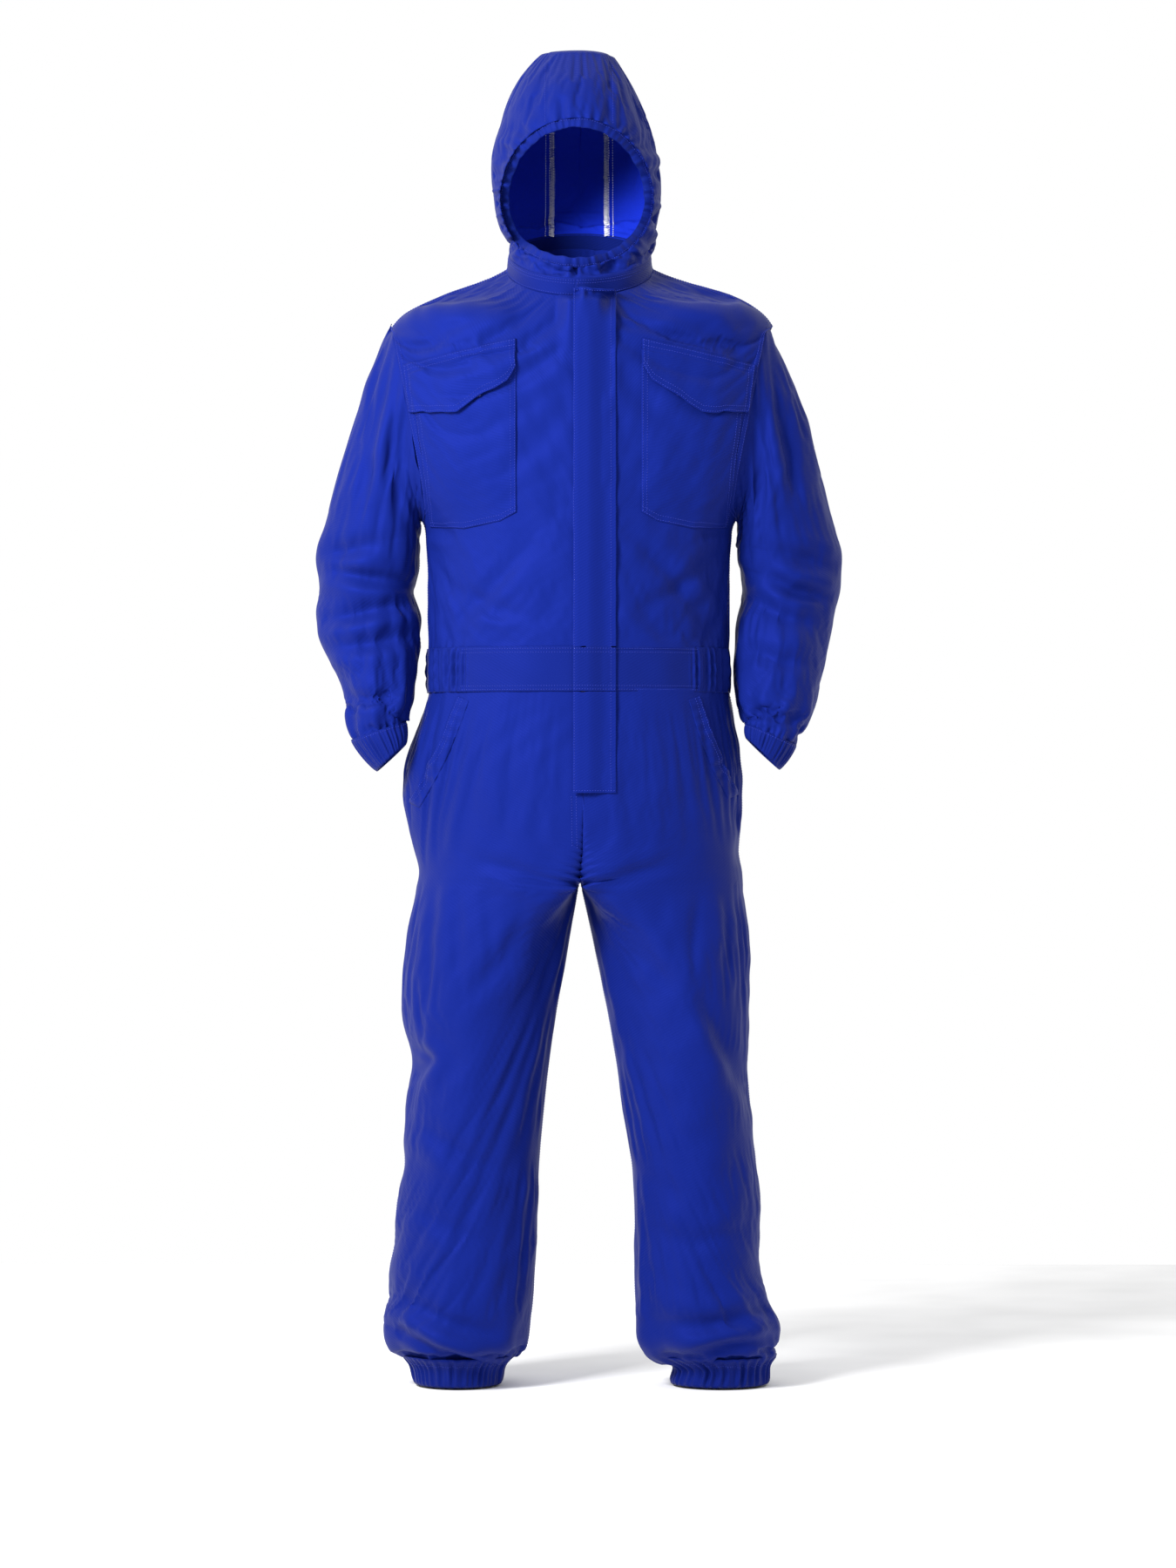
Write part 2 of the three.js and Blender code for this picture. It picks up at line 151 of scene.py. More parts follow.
def meshFrom(name, points, faces, uv=None):
    # a mesh from arrays in millimetres; points that coincide become one, each corner keeps its own cloth
    # coordinates
    mesh = bpy.data.meshes.new(name)
    points, faces = np.asarray(points, float), np.asarray(faces)
    corners = faces
    counted = np.ones(faces.shape, bool)
    if uv is not None:
        _, first, inverse = np.unique(np.round(points * 40).astype(np.int64), axis=0, return_index=True,
                                      return_inverse=True)
        points, faces = points[first], inverse.ravel()[faces]
        apart = faces != np.roll(faces, 1, axis=1)  # a corner that falls on the one before it is dropped
        whole = (apart.sum(axis=1) > 2) & (faces[:, 0] != faces[:, 2]) & (faces[:, 1] != faces[:, 3])
        faces, corners, counted = faces[whole], corners[whole], apart[whole]
    sides = counted.sum(axis=1)
    faces, corners = faces[counted], corners[counted]
    mesh.vertices.add(len(points))
    mesh.vertices.foreach_set("co", (points / 1000).astype(np.float32).ravel())
    mesh.loops.add(faces.size)
    mesh.loops.foreach_set("vertex_index", faces.astype(np.int32))
    mesh.polygons.add(len(sides))
    mesh.polygons.foreach_set("loop_start", (np.cumsum(sides) - sides).astype(np.int32))
    mesh.update(calc_edges=True)
    if uv is not None:
        layer = mesh.uv_layers.new(name="cloth")
        layer.data.foreach_set("uv", (np.asarray(uv)[corners] / 1000).astype(np.float32).ravel())
    mesh.polygons.foreach_set("use_smooth", np.ones(len(mesh.polygons), bool))
    obj = bpy.data.objects.new(name, mesh)
    scene.collection.objects.link(obj)
    return obj


def gridFaces(rows, cols, start=0, flip=False):
    r, c = np.meshgrid(np.arange(rows - 1), np.arange(cols - 1), indexing="ij")
    a = start + r * cols + c
    quad = np.stack([a, a + cols, a + cols + 1, a + 1], -1).reshape(-1, 4)
    return quad[:, ::-1] if flip else quad


def gridUV(grid):
    # distance along the cloth each way, in millimetres
    u = np.zeros(grid.shape[:2])
    v = np.zeros(grid.shape[:2])
    u[:, 1:] = np.cumsum(np.linalg.norm(np.diff(grid, axis=1), axis=2), axis=1)
    v[1:] = np.cumsum(np.linalg.norm(np.diff(grid, axis=0), axis=2), axis=0)
    u -= u[:, [u.shape[1] // 2]]
    v -= v[[0]]
    v = np.repeat(v[:, [v.shape[1] // 2]], v.shape[1], axis=1)
    return np.stack([u, -v], -1)


# cloth simulation
clothFeel = {"quality": 5, "mass": 0.15, "air_damping": 2.0, "tension_stiffness": 15,
             "compression_stiffness": 15, "shear_stiffness": 4, "bending_stiffness": 0.03,
             "tension_damping": 10, "compression_damping": 10, "shear_damping": 10, "bending_damping": 1,
             "pin_stiffness": 0.05}  # a soft mid-weight twill, held only loosely where it isn't sewn


def drape(grids, patterns, holds, frames, limit):
    # joins grids where their edges meet, lets the cloth settle from the pattern's size into the held shape
    points = np.concatenate([g.reshape(-1, 3) for g in grids])
    rest = np.concatenate([p.reshape(-1, 3) for p in patterns])
    hold = np.concatenate([h.ravel() for h in holds])
    keys = np.round(points * 20).astype(np.int64)
    _, first, inverse = np.unique(keys, axis=0, return_index=True, return_inverse=True)
    inverse = inverse.ravel()
    faces, start = [], 0
    for g in grids:
        faces.append(gridFaces(g.shape[0], g.shape[1], start))
        start += g.shape[0] * g.shape[1]
    faces = [list(dict.fromkeys(f.tolist())) for f in inverse[np.concatenate(faces)]]
    mesh = bpy.data.meshes.new("draping")
    mesh.from_pydata((points[first] / 1000).tolist(), [], [f for f in faces if len(f) > 2])
    obj = bpy.data.objects.new("draping", mesh)
    scene.collection.objects.link(obj)
    obj.shape_key_add(name="Basis")
    key = obj.shape_key_add(name="pattern")
    key.data.foreach_set("co", (rest[first] / 1000).astype(np.float32).ravel())
    group = obj.vertex_groups.new(name="hold")
    for i, w in enumerate(hold[first]):
        group.add([i], float(w), "REPLACE")
    modifier = obj.modifiers.new("cloth", "CLOTH")
    cloth = modifier.settings
    cloth.vertex_group_mass = "hold"
    for setting, value in clothFeel.items():
        setattr(cloth, setting, value)
    cloth.rest_shape_key = key
    cloth.effector_weights.gravity = 0.4
    modifier.collision_settings.use_collision = False
    modifier.point_cache.frame_start = 1
    modifier.point_cache.frame_end = frames
    scene.frame_start, scene.frame_end = 1, frames
    for f in range(1, frames + 1):
        scene.frame_set(f)
    evaluated = obj.evaluated_get(bpy.context.evaluated_depsgraph_get())
    moved = np.zeros(len(evaluated.data.vertices) * 3)
    evaluated.data.vertices.foreach_get("co", moved)
    moved = moved.reshape(-1, 3)[inverse] * 1000
    step = moved - points
    size = np.linalg.norm(step, axis=1, keepdims=True)
    moved = points + step * np.minimum(1, limit / np.maximum(size, 1e-6))
    bpy.data.objects.remove(obj)
    scene.frame_set(1)
    out, start = [], 0
    for g in grids:
        n = g.shape[0] * g.shape[1]
        out.append(moved[start:start + n].reshape(g.shape))
        start += n
    return out


# finishes
def linear(code):
    # an sRGB hex colour as linear light
    parts = [int(code[i:i + 2], 16) / 255 for i in (1, 3, 5)]
    return [c / 12.92 if c <= 0.04045 else ((c + 0.055) / 1.055) ** 2.4 for c in parts] + [1.0]


def addNode(tree, kind, settings=None, links=None, values=None):
    node = tree.nodes.new(kind)
    for key, value in (settings or {}).items():
        setattr(node, key, value)
    for key, value in (values or {}).items():
        node.inputs[key].default_value = value
    for key, source in (links or {}).items():
        tree.links.new(source, node.inputs[key])
    return node


def newMaterial(name):
    material = bpy.data.materials.new(name)
    material.use_nodes = True
    tree = material.node_tree
    tree.nodes.clear()
    out = addNode(tree, "ShaderNodeOutputMaterial")
    shader = addNode(tree, "ShaderNodeBsdfPrincipled")
    tree.links.new(shader.outputs[0], out.inputs[0])
    return material, tree, shader


def clothFinish(name, colour, look):
    # woven twill: fine diagonal ribs, uneven dye and a soft bloom at grazing angles
    material, tree, shader = newMaterial(name)
    uv = addNode(tree, "ShaderNodeUVMap", {"uv_map": "cloth"})
    place = addNode(tree, "ShaderNodeTexCoord")
    cloudy = addNode(tree, "ShaderNodeTexNoise", None, {"Vector": place.outputs["Object"]},
                     {"Scale": 7.0, "Detail": 3.0, "Roughness": 0.6})
    slub = addNode(tree, "ShaderNodeMapping", None, {"Vector": uv.outputs[0]},
                   {"Scale": (1800.0, 160.0, 1.0)})
    yarn = addNode(tree, "ShaderNodeTexNoise", None, {"Vector": slub.outputs[0]},
                   {"Scale": 1.0, "Detail": 2.0})
    base = linear(colour)
    dye = addNode(tree, "ShaderNodeValToRGB", None, {"Fac": cloudy.outputs[0]})
    dye.color_ramp.elements[0].position = 0.3
    dye.color_ramp.elements[0].color = [c * 0.93 for c in base[:3]] + [1]
    dye.color_ramp.elements[1].position = 0.72
    dye.color_ramp.elements[1].color = [c * 1.06 for c in base[:3]] + [1]
    dark = [c * 0.9 for c in base[:3]] + [1]
    threads = addNode(tree, "ShaderNodeMix", {"data_type": "RGBA", "blend_type": "MIX"})
    tree.links.new(yarn.outputs[0], threads.inputs[0])
    tree.links.new(dye.outputs[0], threads.inputs[6])
    threads.inputs[7].default_value = dark
    tree.links.new(threads.outputs[2], shader.inputs["Base Color"])
    turned = addNode(tree, "ShaderNodeMapping", None, {"Vector": uv.outputs[0]},
                     {"Rotation": (0, 0, math.radians(look["ribAngle"]))})
    rib = addNode(tree, "ShaderNodeTexWave", {"wave_type": "BANDS", "bands_direction": "X"},
                  {"Vector": turned.outputs[0]},
                  {"Scale": 1000 / look["ribPitch"] / 3.1416 / 2, "Distortion": 0.4,
                                                  "Detail": 1.0, "Detail Scale": 3.0})
    bump = addNode(tree, "ShaderNodeBump", None, {"Height": rib.outputs[1]},
                   {"Strength": look["ribStrength"], "Distance": 0.00035})
    grain = addNode(tree, "ShaderNodeBump", None, {"Height": yarn.outputs[0], "Normal": bump.outputs[0]},
                    {"Strength": look["grain"], "Distance": 0.0003})
    tree.links.new(grain.outputs[0], shader.inputs["Normal"])
    shader.inputs["Roughness"].default_value = look["roughness"]
    shader.inputs["Specular IOR Level"].default_value = look["shine"]
    shader.inputs["Specular Tint"].default_value = linear(look["glint"])
    shader.inputs["Sheen Weight"].default_value = look["bloom"]
    shader.inputs["Sheen Roughness"].default_value = 0.45
    shader.inputs["Sheen Tint"].default_value = linear(look["bloomColour"])
    return material


def plainFinish(name, colour, roughness, metallic=0.0, grainScale=900.0, grain=0.15):
    material, tree, shader = newMaterial(name)
    place = addNode(tree, "ShaderNodeTexCoord")
    noise = addNode(tree, "ShaderNodeTexNoise", None, {"Vector": place.outputs["Object"]},
                    {"Scale": grainScale, "Detail": 2.0})
    base = linear(colour)
    tone = addNode(tree, "ShaderNodeValToRGB", None, {"Fac": noise.outputs[0]})
    tone.color_ramp.elements[0].color = [c * 0.8 for c in base[:3]] + [1]
    tone.color_ramp.elements[1].color = [min(1, c * 1.15) for c in base[:3]] + [1]
    bump = addNode(tree, "ShaderNodeBump", None, {"Height": noise.outputs[0]},
                   {"Strength": grain, "Distance": 0.0004})
    tree.links.new(tone.outputs[0], shader.inputs["Base Color"])
    tree.links.new(bump.outputs[0], shader.inputs["Normal"])
    shader.inputs["Roughness"].default_value = roughness
    shader.inputs["Metallic"].default_value = metallic
    return material


# ribs are drawn 1.6 mm apart, coarser than the cloth's own half millimetre, so that they show
twillLook = {"ribAngle": 62, "ribPitch": 1.6, "ribStrength": 0.28, "grain": 0.25, "roughness": 0.55,
             "shine": 0.35,
             "bloom": 0.03, "bloomColour": "#2b46d8", "glint": "#1d33c8"}
# clean saturated blue with a slight lustre
twill = clothFinish("royal_blue_cotton_twill", "#0e1c66", twillLook)
bandTwill = clothFinish("band_twill", "#0e1b61", twillLook)  # the same cloth doubled over, a touch deeper
# duller, seen only inside a pocket
lining = clothFinish("pocketing_cloth", "#141f6b", {**twillLook, "bloom": 0.1})
# blue thread whose colour is painted well above the cloth's, a painted highlight along every stitch line
paintedHighlightThread = plainFinish("sewing_thread_painted_highlight", "#1e31a0", 0.6)  # a little lighter than the cloth
# back of the same twill, a little duller in shine; its colour is painted lighter than the outer cloth, a
# painted light in the shade inside the hood
insideTwillPaintedLight = clothFinish("twill_inner_side_painted_light", "#1429a8", {**twillLook, "shine": 0.1})
paleThread = plainFinish("white_overlock_thread", "#ffffff", 0.75)  # white loops inside the hood
tapeFinish = plainFinish("zip_tape_weave", "#141f6b", 0.8, 0, 1400, 0.4)
coilFinish = plainFinish("nylon_zip_coil", "#16206e", 0.42)
enamelFinish = plainFinish("painted_zip_enamel", "#1a2a86", 0.35, 0.2)
fuzzFinish = plainFinish("hook_and_loop_pile", "#131d66", 0.95, 0, 2200, 1.0)


# sheets with two faces
def panel(name, grid, inside, finish, thickness=0.8, closed=False, missing=None, lined=None):
    # a sheet of cloth: its face, its back and the turned edges between them
    normals, sign = facing(grid, inside, closed)
    rows, cols = grid.shape[:2]
    n = rows * cols
    points = np.concatenate([grid.reshape(-1, 3), (grid - normals * thickness).reshape(-1, 3)])
    kept = np.ones((rows - 1) * (cols - 1), bool) if missing is None else ~missing.ravel()
    front = gridFaces(rows, cols, 0, sign < 0)[kept]
    rear = gridFaces(rows, cols, n, sign > 0)[kept]
    _, weld = np.unique(np.round(points[:n] * 40).astype(np.int64), axis=0, return_inverse=True)
    weld = weld.ravel()
    u, v = front.ravel(), np.roll(front, -1, axis=1).ravel()
    free = ~np.isin(weld[u] * n + weld[v], weld[v] * n + weld[u]) & (weld[u] != weld[v])
    u, v = u[free], v[free]
    rims = np.stack([v, u, u + n, v + n], -1)
    uv = np.concatenate([gridUV(grid).reshape(-1, 2)] * 2)
    obj = meshFrom(name, points, np.concatenate([front, rear, rims]), uv)
    obj.data.materials.append(finish)
    if lined is not None:
        obj.data.materials.append(lined)
        index = np.zeros(len(obj.data.polygons), np.int32)
        index[len(front):len(front) + len(rear)] = 1
        obj.data.polygons.foreach_set("material_index", index)
    return obj


def edgeDistance(grid, edge):
    # distance along the cloth from one of its edges: top, bottom, first or last
    axis = 0 if edge in ("top", "bottom") else 1
    step = np.linalg.norm(np.diff(grid, axis=axis), axis=2)
    total = np.zeros(grid.shape[:2])
    if axis == 0:
        total[1:] = np.cumsum(step, axis=0)
        return total if edge == "top" else total[-1:] - total
    total[:, 1:] = np.cumsum(step, axis=1)
    return total if edge == "first" else total[:, -1:] - total


def swell(grid, seed, wavelength, height, slant=0.0):
    # a few overlapping slow waves, so that no cloth lies dead flat
    rng = np.random.default_rng(seed)
    flat = gridUV(grid)
    u, v = flat[..., 0], flat[..., 1]
    total = np.zeros(u.shape)
    for k in range(7):
        angle = slant + rng.normal(0, 0.7)
        w = wavelength * (0.6 + 0.9 * rng.random())
        total += np.sin(2 * np.pi * (u * np.cos(angle) + v * np.sin(angle)) / w + rng.random() * 6.28)
    return height * total / 2.6


def crease(grid, normals, path, width, depth, ridge=0.6):
    # a fold along a path of (x, z) as seen from the front: a valley with a ridge beside it
    path = np.array(path, float)
    x, z = grid[..., 0], grid[..., 2]
    best = np.full(x.shape, 1e9)
    along = np.zeros(x.shape)
    signed = np.zeros(x.shape)
    lengths = np.linalg.norm(np.diff(path, axis=0), axis=1)
    start = np.concatenate([[0], np.cumsum(lengths)])
    for i in range(len(path) - 1):
        d = path[i + 1] - path[i]
        t = np.clip(((x - path[i, 0]) * d[0] + (z - path[i, 1]) * d[1]) / (d @ d), 0, 1)
        dx, dz = x - path[i, 0] - t * d[0], z - path[i, 1] - t * d[1]
        dist = np.hypot(dx, dz)
        near = dist < best
        best = np.where(near, dist, best)
        along = np.where(near, (start[i] + t * lengths[i]) / start[-1], along)
        signed = np.where(near, np.sign(d[0] * dz - d[1] * dx) * dist, signed)
    taper = np.sin(np.pi * np.clip(along, 0.02, 0.98)) ** 0.7
    shape = -np.exp(-(signed / width) ** 2) + ridge * np.exp(-((signed - 1.7 * width) / (1.2 * width)) ** 2)
    faces = smoothStep(-normals[..., 1], -0.1, 0.35)
    return depth * shape * taper * faces * (grid[..., 1] < 30)


# stitches
def deepened(creases, share):
    return [(path, width * share[0], depth * share[1]) for path, width, depth in creases]


def stitchMesh(name, runs, finish, pitch=3.3, length=2.5, width=0.7):
    # rows of little pointed stitches; each run is its points and the cloth's normals there
    shapes, faces, count = [], [], 0
    octa = np.array([[0, 2, 4], [2, 1, 4], [1, 3, 4], [3, 0, 4], [2, 0, 5], [1, 2, 5], [3, 1, 5],
                     [0, 3, 5]])
    for points, normals in runs:
        points, normals = np.asarray(points, float), np.asarray(normals, float)
        step = np.linalg.norm(np.diff(points, axis=0), axis=1)
        far = np.concatenate([[0], np.cumsum(step)])
        number = int(far[-1] / pitch)
        if number < 1:
            continue
        middle = (np.arange(number) + 0.5) * pitch

        def at(s, table):
            return np.stack([np.interp(s, far, table[:, k]) for k in range(3)], -1)
        a, b, n = at(middle - length / 2, points), at(middle + length / 2, points), at(middle, normals)
        d = b - a
        side = np.cross(n, d)
        side /= np.maximum(np.linalg.norm(side, axis=1, keepdims=True), 1e-9)
        c = (a + b) / 2
        six = np.stack([a - n * 0.1, b - n * 0.1, c + side * width / 2, c - side * width / 2, c + n * 0.45,
                        c - n * 0.3], 1)
        shapes.append(six.reshape(-1, 3))
        faces.append((octa[None] + count + 6 * np.arange(number)[:, None, None]).reshape(-1, 3))
        count += 6 * number
    obj = meshFrom(name, np.concatenate(shapes), np.concatenate(faces))
    obj.data.materials.append(finish)
    return obj


def gridRun(grid, normals, rows=None, cols=None, lift=0.25):
    # a run along a line of a grid, given as row and column positions, which may lie between its points
    count = 400
    r = np.interp(np.linspace(0, 1, count), np.linspace(0, 1, len(np.atleast_1d(rows))),
                  np.atleast_1d(rows))
    c = np.interp(np.linspace(0, 1, count), np.linspace(0, 1, len(np.atleast_1d(cols))),
                  np.atleast_1d(cols))
    r, c = np.clip(r, 0, grid.shape[0] - 1.001), np.clip(c, 0, grid.shape[1] - 1.001)
    i, j = r.astype(int), c.astype(int)
    s, t = (r - i)[:, None], (c - j)[:, None]

    def mix(table):
        top = table[i, j] * (1 - t) + table[i, j + 1] * t
        return top * (1 - s) + (table[i + 1, j] * (1 - t) + table[i + 1, j + 1] * t) * s
    n = mix(normals)
    n /= np.maximum(np.linalg.norm(n, axis=1, keepdims=True), 1e-9)
    return mix(grid) + n * lift, n


def edgeRun(grid, normals, edge, inset, lift=0.25, span=(0.0, 1.0)):
    # a run at a distance in from an edge
    axis = 0 if edge in ("top", "bottom") else 1
    table = grid if axis == 0 else grid.transpose(1, 0, 2)
    norm = normals if axis == 0 else normals.transpose(1, 0, 2)
    if edge in ("bottom", "last"):
        table, norm = table[::-1], norm[::-1]
    step = np.concatenate([np.zeros((1, table.shape[1])),
                           np.cumsum(np.linalg.norm(np.diff(table, axis=0), axis=2), axis=0)])
    points, out = [], []
    first, last = int(span[0] * (table.shape[1] - 1)), int(span[1] * (table.shape[1] - 1))
    for j in range(first, last + 1):
        points.append([np.interp(inset, step[:, j], table[:, j, k]) for k in range(3)])
        out.append([np.interp(inset, step[:, j], norm[:, j, k]) for k in range(3)])
    points, out = np.array(points), np.array(out)
    return points + out * lift, out


# the body's outline: height, right half width, left half width, front, back
bodySections = [
    (45, 80, 82, 92, 84), (20, 84, 86, 98, 86), (5, 90, 92, 102, 88), (-11, 114, 122, 108, 94),
    (-32, 170, 190, 114, 102), (-54, 214, 226, 121, 111), (-75, 234, 242, 124.5, 117),
    (-97, 248, 250, 125, 124),
    (-130, 256, 256, 125, 128), (-200, 250, 250, 125, 127), (-260, 230, 230, 125, 124),
    (-290, 208, 208, 125, 120),
    (-312, 193, 192, 125, 118), (-340, 188, 187, 125, 115), (-400, 187, 185, 125, 110),
    (-440, 187, 184, 125, 107),
    (-470, 186, 184, 125, 104), (-530, 186, 185, 125, 107),
]
armhole = [(-60, 234), (-70, 232), (-97, 226), (-140, 217), (-184, 209), (-230, 200), (-270, 193),
           (-312, 191), (-330, 196)]
shoulderZ, armpitZ = -66.0, -311.0
neck = {"right": 88, "left": 90, "front": 98, "back": 86, "taper": 0.12, "height": 20}


def bodyPoint(angle, height):
    # angle 0 is the front, positive to the wearer's left
    right, left, front, back = alongProfile(bodySections, height)
    width = np.where(np.sin(angle) > 0, left, right)
    depth = np.where(np.cos(angle) > 0, front, back)
    return np.stack([width * np.sin(angle), -depth * np.cos(angle), height + 0 * angle], -1)


def neckPoint(angle, above):
    # the collar seam, carried up square to its own plane
    tilt = math.atan(neckSlope)
    width = np.where(np.sin(angle) > 0, neck["left"], neck["right"]) - above * neck["taper"]
    depth = np.where(np.cos(angle) > 0, neck["front"], neck["back"]) - above * neck["taper"]
    y = -depth * np.cos(angle)
    return np.stack([width * np.sin(angle), y - math.sin(tilt) * above,
                     neckSlope * y + math.cos(tilt) * above], -1)


def armAngle(height, side):
    # where a body panel stops: the armhole between shoulder and armpit, else the side seam
    right, left, _, _ = alongProfile(bodySections, height)
    width = left if side > 0 else right
    (edge,) = alongProfile(armhole, height)
    inside = (height < shoulderZ) & (height > armpitZ)
    angle = np.arcsin(np.clip(edge / width, -1, 1))
    opened = smoothStep(shoulderZ - height, 0, 14) * smoothStep(height - armpitZ, 0, 14)
    return np.where(inside, np.pi / 2 + (angle - np.pi / 2) * opened, np.pi / 2)


def bodiceGrid(fromShare, toShare, isFront, rows, cols):
    # shares run from -1, the wearer's right seam, to 1, the left seam
    t = np.linspace(0, 1, rows)[:, None]
    s = fromShare + (toShare - fromShare) * np.linspace(0, 1, cols)[None, :]
    angle = s * np.pi / 2
    full = angle if isFront else np.pi - angle
    top = neckPoint(full, 0)
    ease = t ** (1 + 0.75 * np.abs(np.sin(angle)))
    z = top[..., 2] + (waistTop - 3 - top[..., 2]) * ease
    for _ in range(3):
        limit = np.where(s > 0, armAngle(z, 1), armAngle(z, -1))
        steady = 0.4
        outer = np.clip((np.abs(s) - steady) / (1 - steady), 0, 1)
        turned = np.sign(s) * (np.minimum(np.abs(s),
                                          steady) * np.pi / 2 + outer * (limit - steady * np.pi / 2))
        full = turned if isFront else np.pi - turned
    grid = bodyPoint(full, z)
    flare = (top - grid[:1]) * (1 - smoothStep(t, 0, 0.2))[..., None]
    return grid + flare * np.array([1, 1, 0])


bodice = {"rows": 78, "halfCols": 42, "slit": 3.0, "fine": (2, 3)}


def slitGrid(side):
    # a front panel whose inner edge runs straight down beside the zip
    grid = bodiceGrid(0.0, side, True, bodice["rows"], bodice["halfCols"])
    edge = closureX + side * bodice["slit"]
    x = np.abs(grid[..., 0])
    grid[..., 0] = side * (x + side * edge * (1 - x / x[:, -1:]))
    return grid


frontLeft, frontRight = slitGrid(1), slitGrid(-1)
back = bodiceGrid(-1.0, 1.0, False, bodice["rows"], 2 * bodice["halfCols"] - 1)

# sleeves: outer edge x and z, inner edge x and z, middle in y, half depth
sleeveStations = {
    1: [(245, -90, 196, -309, 4, 70), (267, -128, 197, -313, 7, 72), (281, -165, 197, -318, 8, 72),
        (292, -212, 197, -328, 12, 70), (304, -262, 196, -342, 16, 68), (317, -306, 194, -358, 20, 67),
        (329, -356, 203, -386, 24, 65), (327, -392, 204, -402, 22, 63), (319, -424, 193, -428, 16, 62),
        (308, -470, 191, -462, 6, 60), (299, -510, 190, -500, -6, 56), (288, -548, 197, -535, -18, 50),
        (272, -580, 205, -560, -29, 42), (263, -595, 207, -566, -33, 35)],
    -1: [(246, -90, 196, -309, 4, 70), (265, -128, 197, -313, 7, 72), (274, -165, 197, -318, 8, 72),
         (290, -212, 197, -328, 12, 70), (305, -262, 196, -342, 16, 68), (316, -303, 196, -360, 20, 67),
         (330, -354, 200, -384, 24, 65), (325, -388, 207, -396, 22, 63), (329, -425, 194, -424, 16, 62),
         (322, -462, 198, -460, 6, 60), (300, -500, 200, -492, -6, 56), (289, -535, 206, -525, -18, 50),
         (284, -568, 212, -552, -29, 42), (274, -590, 214, -566, -33, 35)],
}
cuffEnds = {1: (246, -619, 208, -582, -38, 30), -1: (248, -621, 214, -588, -38, 30)}
sleeve = {"rows": 88, "cols": 67, "fine": (2, 3), "cuffRows": 14, "cuffCols": 320}


def armholeRing(side, theta):
    z = -189 + 122.5 * np.cos(theta)
    right, left, front, rear = alongProfile(bodySections, z)
    (x,) = alongProfile(armhole, z)
    sine = np.clip(x / (left if side > 0 else right), -1, 1)
    cosine = np.sqrt(1 - sine**2)
    y = np.where(np.sin(theta) > 0, -front, rear) * cosine
    return np.stack([side * x, y, z], -1)


def stationRing(side, row, theta):
    outX, outZ, inX, inZ, middle, depth = row
    c = (1 + np.cos(theta)) / 2
    return np.stack([side * (inX + (outX - inX) * c), middle - depth * np.sin(theta),
                     inZ + (outZ - inZ) * c], -1)


def smoothRings(rings, rows):
    # rings joined by smooth curves, evenly spaced along the middle line
    rings = np.array(rings)
    centres = rings.mean(axis=1)
    far = np.concatenate([[0], np.cumsum(np.linalg.norm(np.diff(centres, axis=0), axis=1))])
    table = np.concatenate([far[:, None], rings.reshape(len(rings), -1)], axis=1)
    out = alongProfile(table, np.linspace(0, far[-1], rows))
    return np.moveaxis(out, 0, 1).reshape(rows, -1, 3)


def sleeveGrid(side):
    theta = np.pi + 2 * np.pi * np.linspace(0, 1, sleeve["cols"])
    rings = [armholeRing(side, theta)] + [stationRing(side, row, theta) for row in sleeveStations[side]]
    return smoothRings(rings, sleeve["rows"])


# trousers: height, inner edge, outer edge, counted outward from the middle on each side
legEdges = {
    1: [(-518, 8, 185), (-545, 8, 190), (-583, 8, 203), (-615, 8, 211), (-638, 8, 208), (-648, 5, 207),
        (-680, 5, 202), (-713, 4, 200), (-745, 1.5, 204), (-756, 1, 205), (-777, 10, 208), (-810, 21, 215),
        (-842, 28, 217), (-875, 34, 213), (-907, 41, 210), (-939, 47, 210), (-972, 52, 208),
        (-1004, 55, 209),
        (-1037, 58, 213), (-1069, 62, 215), (-1101, 71, 221), (-1134, 72, 226), (-1166, 71, 227),
        (-1231, 67, 226),
        (-1263, 67, 235), (-1296, 69, 248), (-1328, 75, 249), (-1344, 92, 244), (-1352, 112, 236)],
    -1: [(-518, -2, 185), (-545, -2, 193), (-583, -2, 212), (-615, -2, 226), (-638, -2, 225),
         (-648, -5, 224),
         (-680, -5, 214), (-713, -4, 205), (-745, -1.5, 200), (-756, -1, 202), (-777, 8, 208),
         (-810, 16, 216),
         (-842, 20, 218), (-875, 23, 221), (-907, 34, 221), (-939, 37, 214), (-972, 42, 205),
         (-1004, 46, 210),
         (-1037, 47, 216), (-1069, 52, 219), (-1101, 54, 218), (-1134, 50, 226), (-1166, 52, 230),
         (-1199, 50, 231),
         (-1231, 53, 237), (-1263, 55, 238), (-1296, 60, 243), (-1328, 68, 235), (-1344, 80, 219),
         (-1352, 90, 210)],
}
hemEnds = {1: (-1379, 114, 234), -1: (-1379, 97, 203)}
legDepths = [(-518, 125, 105), (-560, 125, 116), (-610, 125, 131), (-650, 125, 136), (-700, 124, 139),
             (-756, 119, 138),
             (-800, 112, 132), (-860, 104, 122), (-930, 98, 112), (-1000, 95, 103), (-1100, 90, 97),
             (-1210, 88, 94),
             (-1290, 90, 95), (-1328, 84, 88), (-1344, 68, 70), (-1352, 60, 62), (-1379, 56, 58)]
legSquare = [(-700, 1.0), (-756, 1.0), (-790, 0.62), (-830, 0.22), (-880, 0.0), (-1400, 0.0)]
trousers = {"rows": 108, "cols": 113, "fine": (2, 2), "hemCols": 420, "hemRows": 14}


